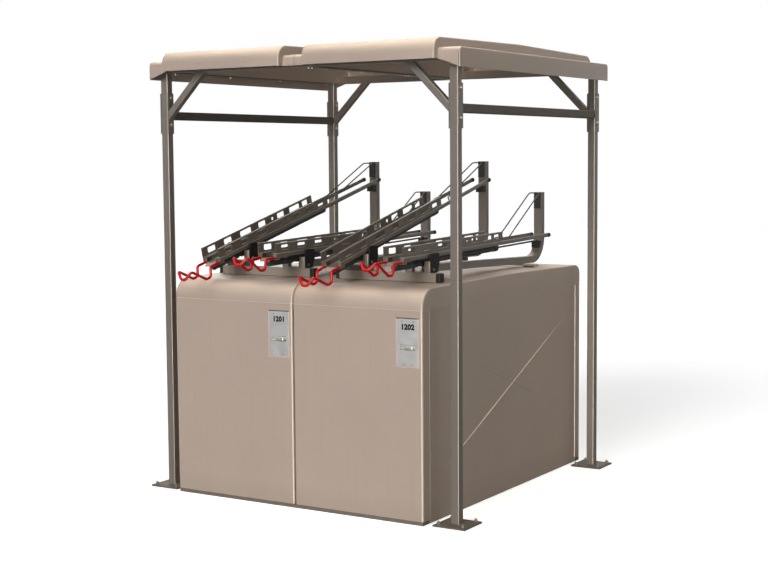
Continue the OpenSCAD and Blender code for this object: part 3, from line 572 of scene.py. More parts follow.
def wire_mesh(name, points, diameter):
    """A round wire along points, as a mesh with closed ends."""
    alone()
    bpy.ops.curve.primitive_nurbs_path_add()
    wire = bpy.context.object
    wire.name = wire.data.name = name
    wire.data.splines.clear()
    spline = wire.data.splines.new("POLY")
    spline.points.add(len(points) - 1)
    for point, place in zip(spline.points, points):
        point.co = (*place, 1.0)
    wire.data.dimensions = "3D"
    wire.data.bevel_depth = diameter / 2
    wire.data.bevel_resolution = 3
    wire.data.use_fill_caps = True
    alone(wire)
    bpy.ops.object.convert(target="MESH")
    wire = bpy.context.object
    return settle(wire)


def bent_wire(name, half, radii, diameter, steps):
    """A wire with two like sides, from one side's corners and bend radii in millimetres."""
    corners = [Vector(p) * MM for p in half] + [Vector((-x, y, z)) * MM for x, y, z in reversed(half)]
    bends = [v * MM for v in radii]
    return wire_mesh(name, bent_path(corners, bends + bends[::-1], steps), diameter)


# Values that a user would change

class RackSizes(bpy.types.PropertyGroup):
    """Sizes of the fine pieces."""
    wire: bpy.props.FloatProperty(
        name="Handle wire", description="Diameter of the pull handles' wire",
        default=0.0165, unit="LENGTH")
    edge: bpy.props.FloatProperty(
        name="Edge rounding", description="Rounding of the edges of tubes and plates",
        default=0.0016, unit="LENGTH")
    tube_edge: bpy.props.FloatProperty(
        name="Tube corners", description="Corner radius of the square tubes",
        default=0.006, unit="LENGTH")
    roof_edge: bpy.props.FloatProperty(
        name="Roof edge", description="Rounding of the end edges of the roof panels",
        default=0.009, unit="LENGTH")
    cover_edge: bpy.props.FloatProperty(
        name="Cover edge", description="Rounding of the side edges of the locker covers",
        default=0.013, unit="LENGTH")
    crease: bpy.props.FloatProperty(
        name="Panel crease", description="Height of the pressed creases in the side panels",
        default=0.004, unit="LENGTH")
    number: bpy.props.FloatProperty(
        name="Number height", description="Height of the locker numbers",
        default=0.03, unit="LENGTH")
    first_number: bpy.props.IntProperty(
        name="First number", description="Number of the first compartment", default=1201)


class RackColours(bpy.types.PropertyGroup):
    """Colours of the finishes."""
    sheet: bpy.props.FloatVectorProperty(
        name="Locker and roof", description="Paint of the locker and the roof",
        subtype="COLOR", default=linear("b4a294"))
    tube: bpy.props.FloatVectorProperty(
        name="Frame", description="Paint of the posts, beams, braces and guide rails",
        subtype="COLOR", default=linear("776f67"))
    rail: bpy.props.FloatVectorProperty(
        name="Rails", description="Paint of the cross rails",
        subtype="COLOR", default=linear("8a8075"))
    tray: bpy.props.FloatVectorProperty(
        name="Trays", description="Paint of the wheel trays",
        subtype="COLOR", default=linear("6f675e"))
    handle: bpy.props.FloatVectorProperty(
        name="Handles", description="Vinyl of the pull handles",
        subtype="COLOR", default=linear("d40410"))
    plate: bpy.props.FloatVectorProperty(
        name="Handle plates", description="Steel of the handle plates",
        subtype="COLOR", default=linear("989a9e"))
    black: bpy.props.FloatVectorProperty(
        name="Black parts", description="Paint of the brackets and saddles",
        subtype="COLOR", default=linear("101010"))


def values(context):
    """The sizes and the colours that the panel shows."""
    return context.scene.bike_rack_sizes, context.scene.bike_rack_colours


class RACK_OT_stage(bpy.types.Operator):
    """Adds the floor, the soft light and the camera at the photograph's angle"""
    bl_idname = "bike_rack.stage"
    bl_label = "Stage"

    def execute(self, context):
        scene = context.scene
        scene.view_settings.view_transform = "Standard"
        self.floor()
        self.sky(scene)
        self.lights(scene)
        self.camera(scene)
        return {"FINISHED"}

    def floor(self):
        """A plain floor that the rack stands on."""
        floor = settle(begin("plane", "floor", size=60.0, location=(0, 0, -0.0004)))
        plain = Finish("plain_floor", Roughness=0.9, Specular_IOR_Level=0.0)
        seen = plain.add("LightPath", out="Is Camera Ray")
        mottle = plain.add("TexNoise", {"Vector": plain.place, "Scale": 0.7})
        pale = plain.layer((0.9, 0.9, 0.9, 1.0), (0.93, 0.93, 0.93, 1.0), mottle)
        # The floor is pale to the camera, and throws back up only what a mid grey floor would.
        base = plain.layer((0.5, 0.5, 0.5, 1.0), pale, seen)
        glow = plain.add("Math", {0: seen, 1: 0.62}, operation="MULTIPLY")
        plain.feed(Base_Color=base, Emission_Color=WHITE, Emission_Strength=glow)
        floor.data.materials.append(plain.material)

    def sky(self, scene):
        """A white studio to the camera and in gloss. Its light is stronger at the horizon than overhead."""
        world = bpy.data.worlds.new("studio_sky")
        scene.world = world
        world.use_nodes = True
        studio = Nodes(world.node_tree, "Background")
        height = studio.add("SeparateXYZ", {0: studio.add("TexCoord", out="Generated")}, "Z")
        strength = studio.add("MapRange", {"Value": height, "From Max": 0.8, "To Min": 0.37, "To Max": 0.05})
        for ray in ("Is Camera Ray", "Is Glossy Ray", "Is Transmission Ray"):
            seen = studio.add("LightPath", out=ray)
            strength = studio.add("Math", {0: strength, 1: seen}, operation="MAXIMUM")
        studio.feed(Color=WHITE, Strength=strength)

    def lights(self, scene):
        """Five suns: name, direction, strength, softness in degrees, tint, and whether they light paint."""
        # The last two only show in gloss: the ceiling on shoulders, the edge light on upright edges.
        for name, source, strength, softness, tint, diffuse in (
                ("key_light", (0.0, -0.90, 0.43), 2.2, 30, "ffffff", True),
                ("rear_light", (-0.6, 0.7, 0.4), 0.5, 25, "ffffff", True),
                ("side_fill", (0.97, 0.0, 0.22), 0.2, 40, "fbffe9", True),
                ("ceiling_light", (0.0, 0.0, 1.0), 17.0, 90, "fff0dc", False),
                ("edge_light", (0.53, -0.84, -0.10), 20.0, 24, "fff0dc", False)):
            lamp = bpy.data.lights.new(name, "SUN")
            lamp.energy = strength
            lamp.angle = math.radians(softness)
            lamp.color = linear(tint)
            lamp.use_shadow = name != "edge_light"
            light = bpy.data.objects.new(name, lamp)
            light.rotation_euler = Vector(source).to_track_quat("Z", "Y").to_euler()
            light.visible_diffuse = diffuse
            light.visible_glossy = name != "side_fill"
            scene.collection.objects.link(light)

    def camera(self, scene):
        """The photograph's camera, as worked out from the rack's own edges."""
        lens = bpy.data.cameras.new("photo_view")
        lens.sensor_fit = "HORIZONTAL"
        lens.sensor_width = 36.0
        lens.lens = 68.67
        lens.clip_end = 100.0
        camera = bpy.data.objects.new("photo_view", lens)
        eye = (4.894, -7.905, 2.039)
        yaw, pitch, roll = (math.radians(v) for v in (31.877, 5.111, -0.451))
        ahead = Vector((-math.sin(yaw) * math.cos(pitch), math.cos(yaw) * math.cos(pitch), -math.sin(pitch)))
        right = Vector((math.cos(yaw), math.sin(yaw), 0.0))
        up = right.cross(ahead)
        side = math.cos(roll) * right + math.sin(roll) * up
        top = -math.sin(roll) * right + math.cos(roll) * up
        camera.matrix_world = at(*eye) @ Matrix((side, top, -ahead)).transposed().to_4x4()
        scene.collection.objects.link(camera)
        scene.camera = camera


class RACK_OT_canopy(bpy.types.Operator):
    """Finishes the posts, beams, braces and their fastenings"""
    bl_idname = "bike_rack.canopy"
    bl_label = "Canopy frame"
    POST_X, POST_Y, ANCHOR = 1.0126, 0.9126, 0.0762

    def execute(self, context):
        sizes, colours = values(context)
        paint = powder_coat("powder_coated_square_tube", colours.tube, 0.4)
        dress(paint, sizes.tube_edge, "post_front_left", "post_front_right", "post_rear_left",
              "post_rear_right", "knee_braces", tube=True)
        dress(paint, sizes.edge, "roof_frame", "brace_plates")
        # Painted shade: the side beams get the frame paint darkened, standing in for the roof's shade over
        # them.
        beam = powder_coat("powder_coated_shaded_beam", shade(colours.tube, 0.62), 0.5, gloss=0.1)
        dress(beam, sizes.tube_edge, "side_rails", tube=True)
        # Painted shade: the base plates get the frame paint darkened, so that their tops read as in shade.
        plate = powder_coat("powder_coated_floor_plate", shade(colours.tube, 0.6), 0.6, gloss=0.05)
        dress(plate, sizes.edge, "base_plates")
        dress(zinc_plate("zinc_plated_steel", linear("6e6c66")), 0.0008, "frame_bolts", "roof_bolts")
        dress(moulded_black("gasket_foam_rubber", linear("2a2826"), 0.75), 0.0, "roof_gaskets")
        steel = galvanised_steel("weathered_galvanised_nut", linear("4a4640"), 0.8)
        finish_piece(self.nuts(), steel, "frame")
        return {"FINISHED"}

    def nuts(self):
        """Four nuts on each base plate, with the studs they are tightened on."""
        nut = rod("anchor_nut", 6, 0.0105, 0.010, location=(0, 0, 0.0175))
        for face, rim, rise in ((upper, 0.0040, 0.007), (lower, -0.005, -0.0025)):
            pick(nut, "faces", face)
            bpy.ops.mesh.inset(thickness=rim)
            extrude(0, 0, rise)
        settle(nut)
        places = []
        for sx, sy, dx, dy in product(SIDES, SIDES, (-self.ANCHOR, self.ANCHOR), (-self.ANCHOR, self.ANCHOR)):
            place = at(sx * self.POST_X + dx, sy * self.POST_Y + dy, 0)
            places.append(place @ turned(0.7 * sx + 13 * dx + 7 * dy, "Z"))
        return stamped(nut, "anchor_nuts", places)


class RACK_OT_roof(bpy.types.Operator):
    """Finishes the moulded roof panels and their joint cover"""
    bl_idname = "bike_rack.roof"
    bl_label = "Roof panels"

    def execute(self, context):
        sizes, colours = values(context)
        shell = moulded_shell("gel_coated_roof_shell", shade(colours.sheet, 0.95))
        dress(shell, 0.0, "roof_panel_left", "roof_panel_right")
        dress(shell, 0.001, "roof_joint_cover")
        right = self.panel(sizes.roof_edge)
        left = mirrored(right, "roof_shell_left")
        for piece, node in ((right, "roof_panel_right"), (left, "roof_panel_left")):
            finish_piece(piece, shell, "frame", 30)
            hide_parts(node)
        return {"FINISHED"}

    def panel(self, edge):
        """The right panel: a raised middle, and a lower flange that runs out to both of its sides."""
        low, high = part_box("roof_panel_right")
        top, out, end = high.z - 0.015, high.x, high.y
        inner, outer, ledge, hem = 0.079, out - 0.135, high.z - 0.073, high.z - 0.134
        raised = block("roof_raised", (inner, -end, hem), (outer, end, top))
        rounded(raised, "edges", shoulders(top), 0.08, 10)
        crown(raised, top, high.z)
        without(raised, lower)
        round_rims(raised, (inner, outer), edge)
        flange = block("roof_flange", (low.x, -end + 0.043, low.z), (out, end - 0.043, ledge))
        rounded(flange, "edges", shoulders(ledge), 0.024, 5)
        without(flange, lambda f: lower(f) or f.normal.x < -0.9)
        round_rims(flange, (out,), edge)
        start, stop = inner + 0.003, outer - 0.003
        for x in (start, stop):
            split_at(flange, (x, 0, 0), (1, 0, 0))
        without(flange, lambda f: start < f.calc_center_median().x < stop)
        pick(flange, "faces", lambda f: f.calc_center_median().x < start)
        bpy.ops.mesh.bisect(plane_co=(0, 0, hem), plane_no=(0, 0, 1), clear_inner=True)
        fall = Vector((out - 0.008 - outer, 0, low.z + 0.004 - hem))
        pick(flange, "faces", lambda f: abs(f.normal.y) > 0.99 and f.calc_center_median().x > stop)
        bpy.ops.mesh.bisect(plane_co=(outer, 0, hem), plane_no=(-fall.z, 0, fall.x), clear_inner=True)
        return walled(joined([raised, flange], "roof_shell_right"), 0.004)


class RACK_OT_locker(bpy.types.Operator):
    """Finishes the locker and adds the rounded covers, the pressed creases and the panel beads"""
    bl_idname = "bike_rack.locker"
    bl_label = "Locker body"

    def execute(self, context):
        sizes, colours = values(context)
        paint = powder_coat("powder_coated_locker_sheet", colours.sheet, 0.5)
        inner = powder_coat("powder_coated_inner_sheet", shade(colours.sheet, 0.8), 0.45)
        rivet = powder_coat("painted_rivet_heads", shade(colours.sheet, 1.08), 0.35)
        # Painted highlight: the long crease, the panel beads and the head ledges get a much lighter paint.
        # Painted shade: the cross crease gets a darker one.
        bright = powder_coat("powder_coated_crease", shade(colours.sheet, 1.6), 0.35, dust=0.1)
        dull = powder_coat("powder_coated_faint_crease", shade(colours.sheet, 0.9), 0.45, dust=0.1)
        dress(paint, 0.0008, "side_panel_left", "side_panel_right", "top_cover_left", "top_cover_right")
        dress(inner, 0.0, "centre_partition", "diagonal_partitions")
        dress(powder_coat("powder_coated_base_frame", linear("5c534b"), 0.5), sizes.edge, "base_frame")
        dress(rivet, 0.0005, "panel_rivets")
        dress(bpy.data.materials["zinc_plated_steel"], 0.0005, "hinge_pins")
        self.covers(sizes, paint)
        self.creases(sizes, bright, dull)
        self.beads(bright)
        self.head_ledges(bright)
        return {"FINISHED"}

    def covers(self, sizes, paint):
        """The right cover is shaped from a block and mirrored for the left."""
        low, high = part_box("top_cover_right")
        side, x0, x1 = high.z - 0.012, low.x, high.x + 0.0003
        cover = block("cover_right", (x0, -high.y, low.z), (x1, high.y, side))
        top_edge = shoulders(side)
        for front, radius in ((True, 0.108), (False, 0.062)):
            rounded(cover, "edges", lambda e: top_edge(e) and (e.verts[0].co.y < 0) == front, radius, 12)
        crown(cover, side, high.z)
        without(cover, lower)
        round_rims(cover, (x0, x1), sizes.cover_edge)
        walled(cover, 0.003)
        for piece, node in ((cover, "top_cover_right"), (mirrored(cover, "cover_left"), "top_cover_left")):
            finish_piece(piece, paint, "frame", 30)
            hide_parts(node)

    def creases(self, sizes, bright, dull):
        """Each side panel has a long pressed crease, lit by a painted highlight, and a fainter one across it,
        darkened by painted shade.
        """
        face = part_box("side_panel_right")[1].x
        for side, sign in (("left", -1), ("right", 1)):
            for name, start, end, half, rise, paint in (
                    ("long", (-0.811, 0.276), (0.812, 0.998), 0.0055, sizes.crease, bright),
                    ("cross", (-0.545, 0.881), (0.579, 0.472), 0.006, sizes.crease / 2, dull)):
                a, b = Vector((0, *start)), Vector((0, *end))
                run = b - a
                crease = rod(f"crease_{name}_{side}", 4, 1.0, run.length, end_fill_type="NGON")
                for share in (-0.3, 0.3):
                    split_at(crease, (0, 0, share * run.length), (0, 0, 1))
                for share in (-0.5, 0.5):
                    tip = share * run.length
                    pick(crease, "verts", lambda v: near(v.co.z, tip, 0.01))
                    bpy.ops.transform.resize(value=(0.15, 0.15, 1), center_override=(0, 0, tip))
                pick(crease, "verts", whole)
                bpy.ops.transform.resize(value=(rise, half, 1), center_override=(0, 0, 0))
                place = at((face - 0.0004) * sign, *((a + b) / 2).yz)
                settle(crease, place @ turned(-math.atan2(run.y, run.z), "X"))
                finish_piece(crease, paint, "frame", 5)

    def beads(self, bright):
        """Half-round beads along the upright edges of the side panels, the rear one wider, painted light as a
        painted highlight on those edges.
        """
        low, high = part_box("side_panel_right")
        for end, y, radius in (("front", low.y + 0.002, 0.0016), ("rear", high.y - 0.005, 0.0046)):
            bead = rod("panel_bead", 16, radius, 1.15, location=(0, 0, 0.61))
            pick(bead, "faces", end_faces)
            bpy.ops.mesh.inset(thickness=radius * 0.3)
            settle(bead)
            places = [at(sx * (high.x - 0.001), y, 0) for sx in SIDES]
            finish_piece(stamped(bead, f"panel_beads_{end}", places), bright, "frame")

    def head_ledges(self, bright):
        """The thin ledge that closes the gap over each door, painted light as a painted highlight along the
        door's top edge.
        """
        low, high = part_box("door_front_right")
        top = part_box("top_cover_right")[0].z
        inset, corner = 0.0007, 0.0135
        ledges = []
        for sx, sy in product(SIDES, SIDES):
            a = (sx * low.x, -sy * high.y, high.z + 0.0003)
            b = (sx * (high.x - inset / 2), -sy * (low.y + inset), top - 0.0001)
            ledges.append(rounded(block("head_ledge", a, b), "edges", on_line(x=b[0], y=b[1]), corner, 8))
        finish_piece(joined(ledges, "head_ledges"), bright, "frame")


class RACK_OT_doors(bpy.types.Operator):
    """Finishes the doors, their handle plates and latch paddles, with screws, rims and numbers"""
    bl_idname = "bike_rack.doors"
    bl_label = "Doors"
    UPRIGHT_BRUSH = (300.0, 300.0, 9.0)
    NUMBER_DROP, GRIP_RISE = 0.046, 0.091

    def execute(self, context):
        sizes, colours = values(context)
        paint = powder_coat("powder_coated_door_sheet", colours.sheet, 0.46)
        steel = brushed_stainless("brushed_stainless_plate", colours.plate)
        grey = brushed_stainless("satin_steel_paddle", linear("9c9c9a"), self.UPRIGHT_BRUSH)
        for door in DOORS:
            dress(paint, 0.0018, f"door_{door}")
            dress(steel, 0.0007, f"handle_plate_{door}")
            dress(grey, 0.0006, f"paddle_{door}")
        # The screws' dark steel also colours the lip over each plate, where its darkness is painted shadow.
        dark = moulded_black("blackened_screw_steel", linear("4c4c4a"), 0.4)
        ink = moulded_black("black_number_enamel", linear("0c0c0c"), 0.5)
        # Painted highlight: the rim beside and under each plate is a much lighter paint.
        painted_highlight_trim = powder_coat("powder_coated_plate_rim", shade(colours.sheet, 1.45), 0.35, dust=0.0)
        bright = brushed_stainless("polished_thumb_pad", linear("8e8e8c"), self.UPRIGHT_BRUSH)
        for k, door in enumerate(DOORS):
            low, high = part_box(f"handle_plate_{door}")
            stand = at((low.x + high.x) / 2, low.y, 0)
            if door.startswith("rear"):
                stand = at((low.x + high.x) / 2, high.y, 0) @ turned(math.pi, "Z")
            self.number(sizes, str(sizes.first_number + k), stand, high.z - self.NUMBER_DROP, door, ink)
            self.surround(stand, low, high, door, painted_highlight_trim, dark)
            self.thumb_pad(stand, low.z + self.GRIP_RISE, door, bright)
            self.screws(stand, low, high, door, dark)
        return {"FINISHED"}

    def screws(self, stand, low, high, door, dark):
        """Two socket screws under the plate's upper edge and two over its lower edge."""
        screw = rod("plate_screw", 16, 0.0038, 0.0016)
        pick(screw, "faces", upper)
        for rim, rise in ((0.0010, 0.0005), (0.0008, -0.0012)):
            bpy.ops.mesh.inset(thickness=rim)
            extrude(0, 0, rise)
        settle(screw, turned(QUARTER, "X"))
        rows = ((0.038, high.z - 0.014), (0.027, low.z + 0.013))
        places = [stand @ at(sx * reach, 0.0003, z) for sx in SIDES for reach, z in rows]
        finish_piece(stamped(screw, f"plate_screws_{door}", places), dark, f"door_{door}")

    def surround(self, stand, low, high, door, painted_highlight_trim, lip_steel):
        """Rim beside and under the plate in a lighter paint, a painted highlight, and a dark lip over it, a
        painted shadow.
        """
        half, foot = (high.x - low.x) / 2, low.z - 0.005
        bars = []
        for x0, x1, z1 in ((-half - 0.007, -half + 0.001, high.z), (half - 0.001, half + 0.003, high.z),
                           (-half, half, low.z + 0.001)):
            bar = block("plate_rim_bar", (x0, 0.0005, foot), (x1, 0.0045, z1))
            bars.append(rounded(bar, "edges", ahead_of(0.001), 0.0014, 3))
        rim = settle(joined(bars, f"plate_rim_{door}"), stand)
        finish_piece(rim, painted_highlight_trim, f"door_{door}")
        # Painted shadow: the dark lip stands in for the shade under the recess's upper edge.
        lip = block(f"drip_lip_{door}", (-half - 0.004, -0.0003, high.z - MM), (half, 0.004, high.z + 0.006))
        settle(rounded(lip, "edges", ahead_of(0.0), 0.002, 3), stand)
        finish_piece(lip, lip_steel, f"door_{door}")

    def thumb_pad(self, stand, grip, door, bright):
        """Crowned bright pad right of the middle of the latch paddle."""
        pad = block(f"thumb_pad_{door}", (-0.020, 0.001, grip + 0.003), (0.028, 0.004, grip + 0.0243))
        pick(pad, "faces", lambda f: f.normal.y < -0.9)
        bpy.ops.mesh.inset(thickness=0.004)
        bpy.ops.transform.translate(value=(0, -0.0012, 0))
        settle(rounded(pad, "edges", ahead_of(0.002), 0.0012, 3), stand)
        finish_piece(pad, bright, f"paddle_{door}", 60)

    def number(self, sizes, text, stand, height, door, ink):
        """A four-figure locker number, filled and slightly raised."""
        alone()
        bpy.ops.object.text_add()
        label = bpy.context.object
        label.name = f"number_{door}"
        label.data.body = text
        label.data.align_x = "CENTER"
        label.data.align_y = "CENTER"
        label.data.size = sizes.number * 1.35
        label.data.offset = 0.0026
        label.data.space_character = 1.08
        label.data.extrude = 0.0002
        alone(label)
        bpy.ops.object.convert(target="MESH")
        label = bpy.context.object
        label.data.name = label.name
        settle(label, stand @ at(0, -0.0002, height) @ turned(QUARTER, "X"))
        finish_piece(label, ink, f"door_{door}")


class RACK_OT_rails(bpy.types.Operator):
    """Finishes the rails and wheel stops, and models the tapered pivot brackets on their stands"""
    bl_idname = "bike_rack.rails"
    bl_label = "Rails and wheel stops"
    PIVOT_HEIGHT, WAIST = 0.060, 0.052

    def execute(self, context):
        sizes, colours = values(context)
        rail = powder_coat("powder_coated_cross_rail", colours.rail, 0.42, dust=0.0)
        guide = powder_coat("powder_coated_guide_rail", colours.tube, 0.42, dust=0.0)
        black = powder_coat("black_powder_coated_bracket", colours.black, 0.5, dust=0.0, gloss=0.1)
        dress(rail, sizes.edge, "cross_rails")
        dress(guide, sizes.edge, "guide_rails")
        self.brackets(black, rail)
        dress(bpy.data.materials["zinc_plated_steel"], 0.0008, "bracket_bolts")
        for name, colour, roughness, edge, node in (
                ("nylon_tube_cap", "0a0a0a", 0.5, 0.0016, "rail_end_caps"),
                ("rubber_packer", "3a3632", 0.7, 0.001, "rail_packers"),
                ("rubber_wheel_pad", "20262c", 0.75, 0.003, "stop_pads"),
                ("nylon_rest_block", "121212", 0.5, 0.0015, "rest_blocks")):
            dress(moulded_black(name, linear(colour), roughness), edge, node)
        return {"FINISHED"}

    def brackets(self, black, paint):
        """Each tray hangs between two black cheeks that taper to their feet, each behind a folded stand."""
        cheeks, stands, heads = [], [], []
        for n in TRAYS:
            foot = Vector(JOINTS[f"tray_tilt_{n}"]["pos_m"])
            foot.z -= self.PIVOT_HEIGHT
            for sx in SIDES:
                cheeks.append(self.cheek(foot, sx))
                stands.append(self.stand(foot, sx))
                heads.append(at(*(foot + Vector((sx * 0.0895, -0.022, 0.020)))) @ turned(QUARTER, "Y"))
            for low, high in (((-0.081, -0.052, 0), (0.081, 0.052, 0.006)),
                              ((-0.036, 0.052, 0), (0.036, 0.057, 0.036))):
                plate = block("bracket_plate", foot + Vector(low), foot + Vector(high))
                stands.append(rounded(plate, "edges", whole, 0.001))
        bracket = finish_piece(joined(cheeks, "bracket_cheeks"), black, "frame")
        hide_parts("pivot_brackets")
        finish_piece(joined(stands, "bracket_stands"), paint, "frame")
        bolt = powder_coat("phosphated_bolt", linear("565452"), 0.4, dust=0.0)
        head = rod("cheek_bolt", 6, 0.009, 0.005)
        settle(rounded(head, "faces", end_faces, 0.0012))
        finish_piece(stamped(head, "cheek_bolts", heads), bolt, "frame")

    def cheek(self, foot, sx):
        """One cheek, from a block drawn in towards its foot and rounded at its corners."""
        waist = foot.z + self.WAIST
        cheek = block("bracket_cheek", foot + Vector((sx * 0.080, -0.046, 0)),
                      foot + Vector((sx * 0.088, 0.046, 0.114)))
        split_at(cheek, foot + Vector((0, 0, self.WAIST)), (0, 0, 1))
        for front, shift in ((True, 0.004), (False, -0.024)):
            pick(cheek, "verts", lambda v: near(v.co.z, foot.z) and (v.co.y < foot.y) == front)
            bpy.ops.transform.translate(value=(0, shift, 0))
        return rounded(cheek, "edges", lambda e: along_x(e) and not near(e.verts[0].co.z, waist), 0.011, 5)

    def stand(self, foot, sx):
        """One folded stand, open at the back."""
        front, top = foot.y - 0.052, foot.z + 0.069
        stand = block("bracket_stand", foot + Vector((sx * 0.042, -0.052, 0)),
                      foot + Vector((sx * 0.0795, -0.012, 0.069)))
        rounded(stand, "edges", lambda e: all(near(v.co.y, front) or near(v.co.z, top) for v in e.verts),
                0.004, 3)
        without(stand, lambda f: f.normal.y > 0.9 or lower(f))
        close_edit()
        return walled(stand, 0.003)


class RACK_OT_trays(bpy.types.Operator):
    """Models the wheel trays with slide tubes, tail rods and wheel hoops, and the saddles they slide in"""
    bl_idname = "bike_rack.trays"
    bl_label = "Wheel trays"
    HALF, TROUGH, ARM_END = 0.062, 0.036, 1.547
    WINDOWS = ((-0.262, 0.075), (-0.095, 0.075), (0.074, 0.114), (0.270, 0.075), (0.480, 0.075),
               (0.620, 0.114), (0.770, 0.06))
    ROUND_HOLE = 0.425

    def execute(self, context):
        colours = values(context)[1]
        paint = powder_coat("powder_coated_tray_sheet", colours.tray, 0.45, dust=0.0)
        # Painted highlight: the tray paint made much lighter, for the beads along the tray's edges.
        edge = powder_coat("powder_coated_tray_edge", shade(colours.tray, 2.4), 0.4, dust=0.0)
        black = moulded_black("nylon_arm_cap", linear("161616"), 0.45)
        vinyl = moulded_black("blue_black_sleeve", linear("343a40"), 0.45)
        dark = powder_coat("black_powder_coated_saddle", colours.black, 0.5, dust=0.0, gloss=0.1)
        wire = powder_coat("dark_wire_coat", linear("3c3835"), 0.5, dust=0.0, gloss=0.15)
        models = (
            (self.sheet(), "wheel_tray", paint, "tray_steel", "tray"),
            (self.edge_beads(), "tray_edge_beads", edge, "tray_steel", "tray"),
            (self.slide_tube(), "slide_sleeve", vinyl, "cap_plastic", "tray"),
            (self.arm_caps(), "arm_caps", black, "cap_plastic", "tray"),
            (self.saddle(), "cradle_saddle", dark, "cradle_steel", "cradle"))
        for n in TRAYS:
            made = {}
            for model, name, material, slot, body in models:
                made[name] = stamped(model, f"{name}_{n}", [tray_place(n)], keep=True)
                finish_piece(made[name], material, f"{body}_{n}", 30)
            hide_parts(f"tray_{n}")
            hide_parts(f"cradle_{n}")
            pull = JOINTS[f"tray_slide_{n}"]["axis"]
            self.tail_rod(n, pull, vinyl)
            self.hoop(n, pull, wire)
        for model, *_ in models:
            discard(model)
        return {"FINISHED"}

    def sheet(self):
        """One tray drawn flat, its pivot at the origin: a pierced folded sheet between two side rails."""
        front, back, floor, ledge, rim = -0.320, 0.885, 0.0245, 0.055, 0.112
        sheet = block("tray_sheet", (-self.TROUGH, front, floor), (self.TROUGH, back, floor + 0.1))
        without(sheet, lambda f: not lower(f))
        for sx in SIDES:
            pick(sheet, "edges", on_line(x=sx * self.TROUGH, z=floor))
            for fold in ((0, 0, ledge - floor), (sx * (self.HALF - self.TROUGH), 0, 0), (0, 0, rim - ledge),
                         (sx * 0.006, 0, 0), (0, 0, -0.004)):
                extrude(*fold)
        pick(sheet, "edges", on_line(y=front, z=floor))
        extrude(0, -0.026, -0.016)
        rounded(sheet, "edges", lambda e: len(e.link_faces) == 2 and e.calc_length() > 1, 0.003, 3)
        close_edit()
        walled(sheet, 0.0025)
        cutters = []
        for y, length in self.WINDOWS:
            cutter = block("window_cutter", (-0.1, y, ledge + 0.011), (0.1, y + length, rim - 0.013))
            cutters.append(rounded(cutter, "edges", along_x, 0.006, 4))
        hole = rod("hole_cutter", 24, 0.011, 0.2, location=(0, self.ROUND_HOLE, (ledge + rim) / 2),
                   rotation=(0, QUARTER, 0))
        cut_with(sheet, joined([*cutters, settle(hole)], "tray_cutters"))
        parts = [sheet]
        for sx in SIDES:
            for name, low, high, soft in (
                    ("tray_rail", (self.HALF - 0.003, front + 0.002, ledge - 0.026),
                     (self.HALF + 0.004, self.ARM_END, ledge - 0.001), 0.002),
                    ("handle_lug", (self.TROUGH, front + 0.008, 0.012),
                     (self.HALF - 0.003, front + 0.052, ledge - 0.003), 0.003)):
                bar = block(name, (sx * low[0], *low[1:]), (sx * high[0], *high[1:]))
                parts.append(rounded(bar, "edges", whole, soft))
        return joined(parts, "tray_model")

    def edge_beads(self):
        """Narrow beads along the flanges and along the side rails, painted light as a painted highlight on
        those edges.
        """
        beads = []
        for sx in SIDES:
            for x0, x1, y1, z0, z1 in ((0.0615, 0.0685, 0.884, 0.1080, 0.1130),
                                       (0.0600, 0.0664, 1.5460, 0.0495, 0.0546)):
                bead = block("tray_bead", (sx * x0, -0.317, z0), (sx * x1, y1, z1))
                beads.append(rounded(bead, "edges", whole, 0.0008))
        return joined(beads, "bead_model")

    def slide_tube(self):
        """Thick front sleeve, and the slide tube with its end cap behind it."""
        parts = []
        for y0, y1, z, radius in ((-0.311, -0.069, -0.0065, 0.0195), (-0.072, 0.878, 0.0035, 0.0185),
                                  (0.868, 0.912, 0.0065, 0.0225)):
            part = rod("slide_part", 40, radius, y1 - y0)
            pick(part, "faces", end_faces)
            bpy.ops.mesh.inset(thickness=0.003)
            bpy.ops.mesh.extrude_region_shrink_fatten(TRANSFORM_OT_shrink_fatten={"value": -0.009})
            parts.append(settle(part, at(0, (y0 + y1) / 2, z) @ turned(QUARTER, "X")))
        return joined(parts, "slide_model")

    def arm_caps(self):
        """Round caps on the rear ends of the side rails."""
        cap = rod("arm_cap", 20, 0.0145, 0.016)
        settle(rounded(cap, "faces", upper, 0.003, 3), turned(-QUARTER, "X"))
        places = [at(sx * (self.HALF + 0.0005), self.ARM_END, 0.0415) for sx in SIDES]
        return stamped(cap, "arm_cap_model", places)

    def saddle(self):
        """The block that the slide tube runs in, with its two trunnions."""
        body = block("saddle_block", (-0.030, -0.055, -0.020), (0.030, 0.055, 0.001))
        rounded(body, "edges", whole, 0.002)
        groove = rod("groove", 40, 0.0191, 0.2, location=(0, 0, 0.0035), rotation=(QUARTER, 0, 0))
        cut_with(body, settle(groove))
        parts = [body]
        for sx in SIDES:
            pin = rod("trunnion", 32, 0.0099, 0.064, location=(sx * 0.059, 0, 0),
                      rotation=(0, sx * QUARTER, 0))
            parts.append(settle(rounded(pin, "faces", end_faces, 0.0012)))
        return joined(parts, "saddle_model")

    def tail_rod(self, n, pull, material):
        """Black rod from the slide tube to the rest block on the wheel stop, as long as in the solid."""
        start, end = 0.880, 1.5042 / -pull[1]
        tail = rod(f"tail_rod_{n}", 20, 0.006, end - start)
        rounded(tail, "faces", end_faces, 0.0015)
        settle(tail, tray_place(n) @ at(0, (end + start) / 2, 0.006) @ turned(QUARTER, "X"))
        finish_piece(tail, material, f"tray_{n}")

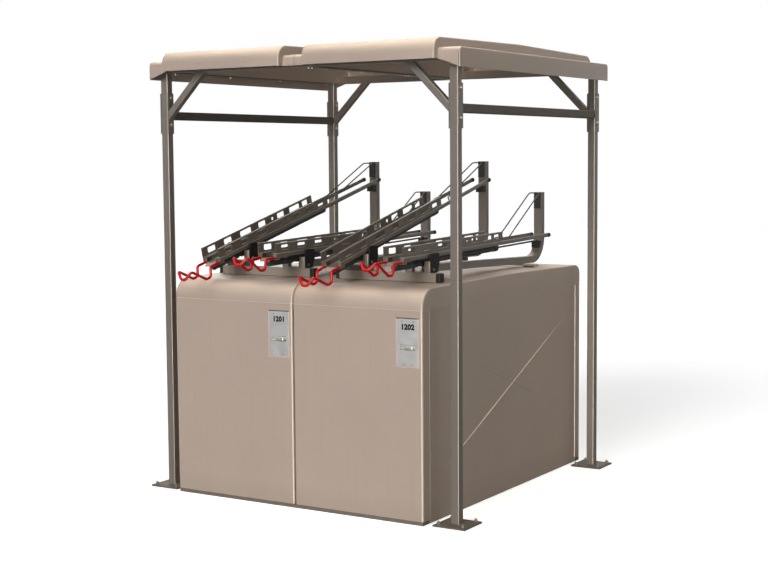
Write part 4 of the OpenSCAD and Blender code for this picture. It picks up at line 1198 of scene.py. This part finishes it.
    def hoop(self, n, pull, material):
        """Bent wire hoop for the front wheel, from the side rails up to the pad; flatter on a high tray."""
        top = (36, 1535, 164) if abs(pull[2]) > 0.1 else (36, 1470, 322)
        wire = bent_wire(f"wheel_hoop_{n}", [(60, 1000, 46), (50, 1006, 62), (36, 1026, 66), top],
                         (8, 12, 14), 0.0085, 5)
        settle(wire, tray_place(n))
        finish_piece(wire, material, f"tray_{n}", 50)


class RACK_OT_handles(bpy.types.Operator):
    """Adds the bent-wire pull handles of the trays"""
    bl_idname = "bike_rack.handles"
    bl_label = "Pull handles"

    def execute(self, context):
        sizes, colours = values(context)
        vinyl = dipped_vinyl("vinyl_dipped_wire", colours.handle)
        half = [(50, -270, 25), (50, -398, 25), (50, -410, -34), (50, -452, -36), (50, -576, 50),
                (15, -601, 8)]
        model = bent_wire("pull_handle", half, (18, 17, 26, 16, 20), sizes.wire, 9)
        for n in TRAYS:
            wire = stamped(model, f"pull_handle_{n}", [tray_place(n)], keep=True)
            finish_piece(wire, vinyl, f"tray_{n}", 50)
            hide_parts(f"tray_handle_{n}")
        discard(model)
        return {"FINISHED"}


STEPS = (RACK_OT_stage, RACK_OT_canopy, RACK_OT_roof, RACK_OT_locker, RACK_OT_doors, RACK_OT_rails,
         RACK_OT_trays, RACK_OT_handles)


class RACK_PT_panel(bpy.types.Panel):
    """Lists the steps and values of the bike rack"""
    bl_idname = "RACK_PT_panel"
    bl_label = "Bike Rack"
    bl_space_type = "VIEW_3D"
    bl_region_type = "UI"
    bl_category = "Bike Rack"

    def draw(self, context):
        for group in values(context):
            for key in group.bl_rna.properties.keys():
                if key not in ("rna_type", "name"):
                    self.layout.prop(group, key)
        for step in STEPS:
            self.layout.operator(step.bl_idname)


CLASSES = (RackSizes, RackColours, *STEPS, RACK_PT_panel)


def register():
    for part in CLASSES:
        bpy.utils.register_class(part)
    bpy.types.Scene.bike_rack_sizes = bpy.props.PointerProperty(type=RackSizes)
    bpy.types.Scene.bike_rack_colours = bpy.props.PointerProperty(type=RackColours)


def unregister():
    del bpy.types.Scene.bike_rack_colours
    del bpy.types.Scene.bike_rack_sizes
    for part in reversed(CLASSES):
        bpy.utils.unregister_class(part)


def main():
    """Builds everything in order."""
    register()
    for step in STEPS:
        getattr(bpy.ops.bike_rack, step.bl_idname.split(".")[1])()


if __name__ == "__main__":
    main()
